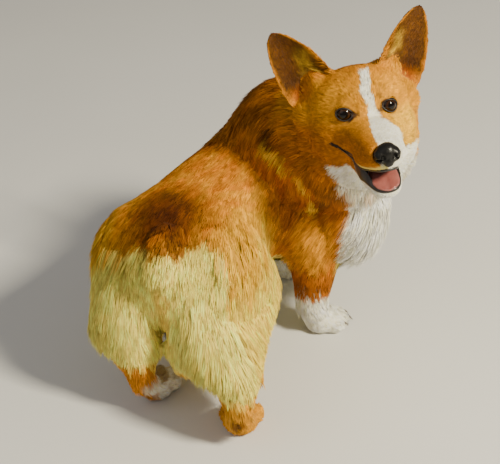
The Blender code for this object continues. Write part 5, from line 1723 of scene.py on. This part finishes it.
@dataclass
class Claws:
    """The claws of all four paws."""

    lay: Lay
    length: float = 0.0080
    height: float = 0.0118
    places: tuple = ((-0.0185, 0.0230), (-0.0068, 0.0335), (0.0068, 0.0335), (0.0185, 0.0230))

    def build(self) -> list[bpy.types.Object]:
        """One piece for each paw, of four curved horn points."""
        horn = ClawFinish().material()
        made = []
        for name, middle, heading in self._paws():
            forward, left = heading_axes(heading)
            roots = [middle + forward * reach + left * out + UP * self.height
                     for out, reach in self.places]
            points, faces = joined([self._claw(root, forward) for root in roots])
            piece = mesh_object(f"claws_{name}", points, faces)
            piece.data.materials.append(horn)
            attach(piece, "root")
            made.append(piece)
        return made

    def _paws(self) -> list[tuple[str, Array, float]]:
        """Each paw's name, the floor place of its middle and its heading."""
        at, _, turns = self.lay.spine()
        level = math.degrees(float(np.interp(0.195, at, turns)))
        rows = (("front_right", (-0.138, -0.108, 0.0), level + 6.0, 0.006),
                ("front_left", (-0.068, -0.226, 0.0), level - 6.0, 0.006),
                ("rear_right", (-0.089, 0.132, 0.0), -10.0, 0.030),
                ("rear_left", (0.038, 0.086, 0.0), 4.0, 0.030))
        return [(name, self.lay.body(place) + heading_axes(turn)[0] * ahead, turn)
                for name, place, turn, ahead in rows]

    def _claw(self, root: Array, forward: Array) -> tuple[Array, Array]:
        """A claw: rings along an arc that bends down, each 1 - t^1.5 as wide as the root."""
        t = np.linspace(0.0, 1.0, 9)[:, None]
        path = root + forward * (self.length * t) + np.array((0, 0, 1.0)) * (0.0010 * t - 0.0072 * t * t)
        run = unit(np.gradient(path, axis=0))
        side = unit(np.cross(run, (0.0, 0.0, 1.0)))
        up = np.cross(side, run)
        turn = round_turns(10)
        size = (0.0026 * (1.0 - 0.86 * t**1.5))[:, :, None]
        ring = side[:, None] * np.cos(turn)[None, :, None] * 0.8 + up[:, None] * np.sin(turn)[None, :, None]
        points, faces = capped((path[:, None] + ring * size).reshape(-1, 3), 9, 10)
        points[:, 2] = np.maximum(points[:, 2], 0.0006)
        return points, outward(points, faces)


@dataclass(frozen=True)
class Studio:
    """The floor, the lights and the camera."""

    lay: Lay
    azimuth: float = 195.0
    elevation: float = 32.0
    roll: float = -4.0
    distance: float = 1.5
    lens: float = 89.64
    sensor: float = 36.0
    aim: tuple[float, float, float] = (-0.0777, -0.0221, 0.2)  # from the rump's zero
    sun_turn: float = 40.0  # from the picture's right towards the camera
    sun_height: float = 40.0
    sky: tuple[float, float, float] = (1.0, 0.97, 0.92)
    sky_strength: float = 0.27

    def build(self) -> None:
        """Put up the floor, the lights and the camera."""
        self._floor()
        self._lights()
        self._camera()

    def _floor(self) -> None:
        """A wide pale floor."""
        corners = np.array(((-6.0, -6.0, 0.0), (6.0, -6.0, 0.0), (6.0, 6.0, 0.0), (-6.0, 6.0, 0.0)))
        floor = mesh_object("floor", corners, np.array(((0, 1, 2, 3),)))
        board = Board("floor_pale")
        cloud = board.noise(board.place(), 3.0, 2.0)
        board.set(Base_Color=board.mix(cloud, (0.70, 0.695, 0.68), (0.76, 0.755, 0.74)), Roughness=0.75)
        floor.data.materials.append(board.material)

    def _lights(self) -> None:
        """A key from the upper right of the picture, like the low sun, and soft fill."""
        world = bpy.data.worlds.new("studio")
        world.use_nodes = True
        world.node_tree.nodes["Background"].inputs[0].default_value = (*self.sky, 1.0)
        world.node_tree.nodes["Background"].inputs[1].default_value = self.sky_strength
        bpy.context.scene.world = world
        right, up, back = self._axes()
        target = Vector((0.0, 0.0, 0.2))
        level = Vector((back.x, back.y, 0.0)).normalized()
        turn, rise = math.radians(self.sun_turn), math.radians(self.sun_height)
        sun = (right * math.cos(turn) + level * math.sin(turn)) * math.cos(rise)
        sun += Vector((0.0, 0.0, math.sin(rise)))
        lamps = (("key", sun * 2.7, 0.45, 132.0, (1.0, 0.91, 0.68)),
                 ("fill", right * -1.6 + up * 0.8 + back * 1.8, 2.0, 10.0, (1.0, 0.95, 0.86)))
        for name, aim, size, power, colour in lamps:
            light = bpy.data.lights.new(name, "AREA")
            light.size = size
            light.energy = power
            light.color = colour
            made = bpy.data.objects.new(name, light)
            bpy.context.scene.collection.objects.link(made)
            made.location = target + aim
            made.rotation_euler = (-aim).to_track_quat("-Z", "Y").to_euler()

    def _axes(self) -> tuple[Vector, Vector, Vector]:
        """The camera's right, up and back before it is rolled."""
        a, e = math.radians(self.azimuth), math.radians(self.elevation)
        back = Vector((math.sin(a) * math.cos(e), -math.cos(a) * math.cos(e), math.sin(e)))
        right = Vector((math.cos(a), math.sin(a), 0.0))
        return right, back.cross(right), back

    def _camera(self) -> None:
        """The camera, behind the right haunch and above."""
        right, up, back = self._axes()
        r = math.radians(self.roll)
        across = right * math.cos(r) + up * math.sin(r)
        upward = up * math.cos(r) - right * math.sin(r)
        data = bpy.data.cameras.new("view")
        data.lens = self.lens
        data.sensor_width = self.sensor
        data.sensor_fit = "HORIZONTAL"
        made = bpy.data.objects.new("view", data)
        bpy.context.scene.collection.objects.link(made)
        target = Vector(self.lay.rump) + Vector(self.aim)
        turn = Matrix((across, upward, back)).transposed().to_4x4()
        made.matrix_world = Matrix.Translation(target + back * self.distance) @ turn
        bpy.context.scene.camera = made


def main() -> None:
    """Build the dog piece by piece, then its stage, and log where the rump and the eyes lie."""
    logging.basicConfig(level=logging.INFO, format="%(message)s")
    lay = Lay.measured()
    LOG.info("rump %s eyes %s", np.round(lay.rump, 4), np.round(lay.eyes, 4))
    places = [EyePlace.on(lay, side) for side in Side]
    markings = Markings(lay, places)
    skin = Skin(lay, places, markings)
    skin.build()
    for piece in Eyes(places).build():
        LOG.info("%s", piece.name)
    nose = Nose().build()
    points, faces = mesh_arrays(nose.data)
    for piece in Mouth(lay, skin).build() + Claws(lay).build():
        LOG.info("%s", piece.name)
    Coat(skin, lay, places, markings, tree_of(points, faces)).build()
    Studio(lay).build()
    bpy.context.view_layer.update()


if __name__ == "__main__":
    main()
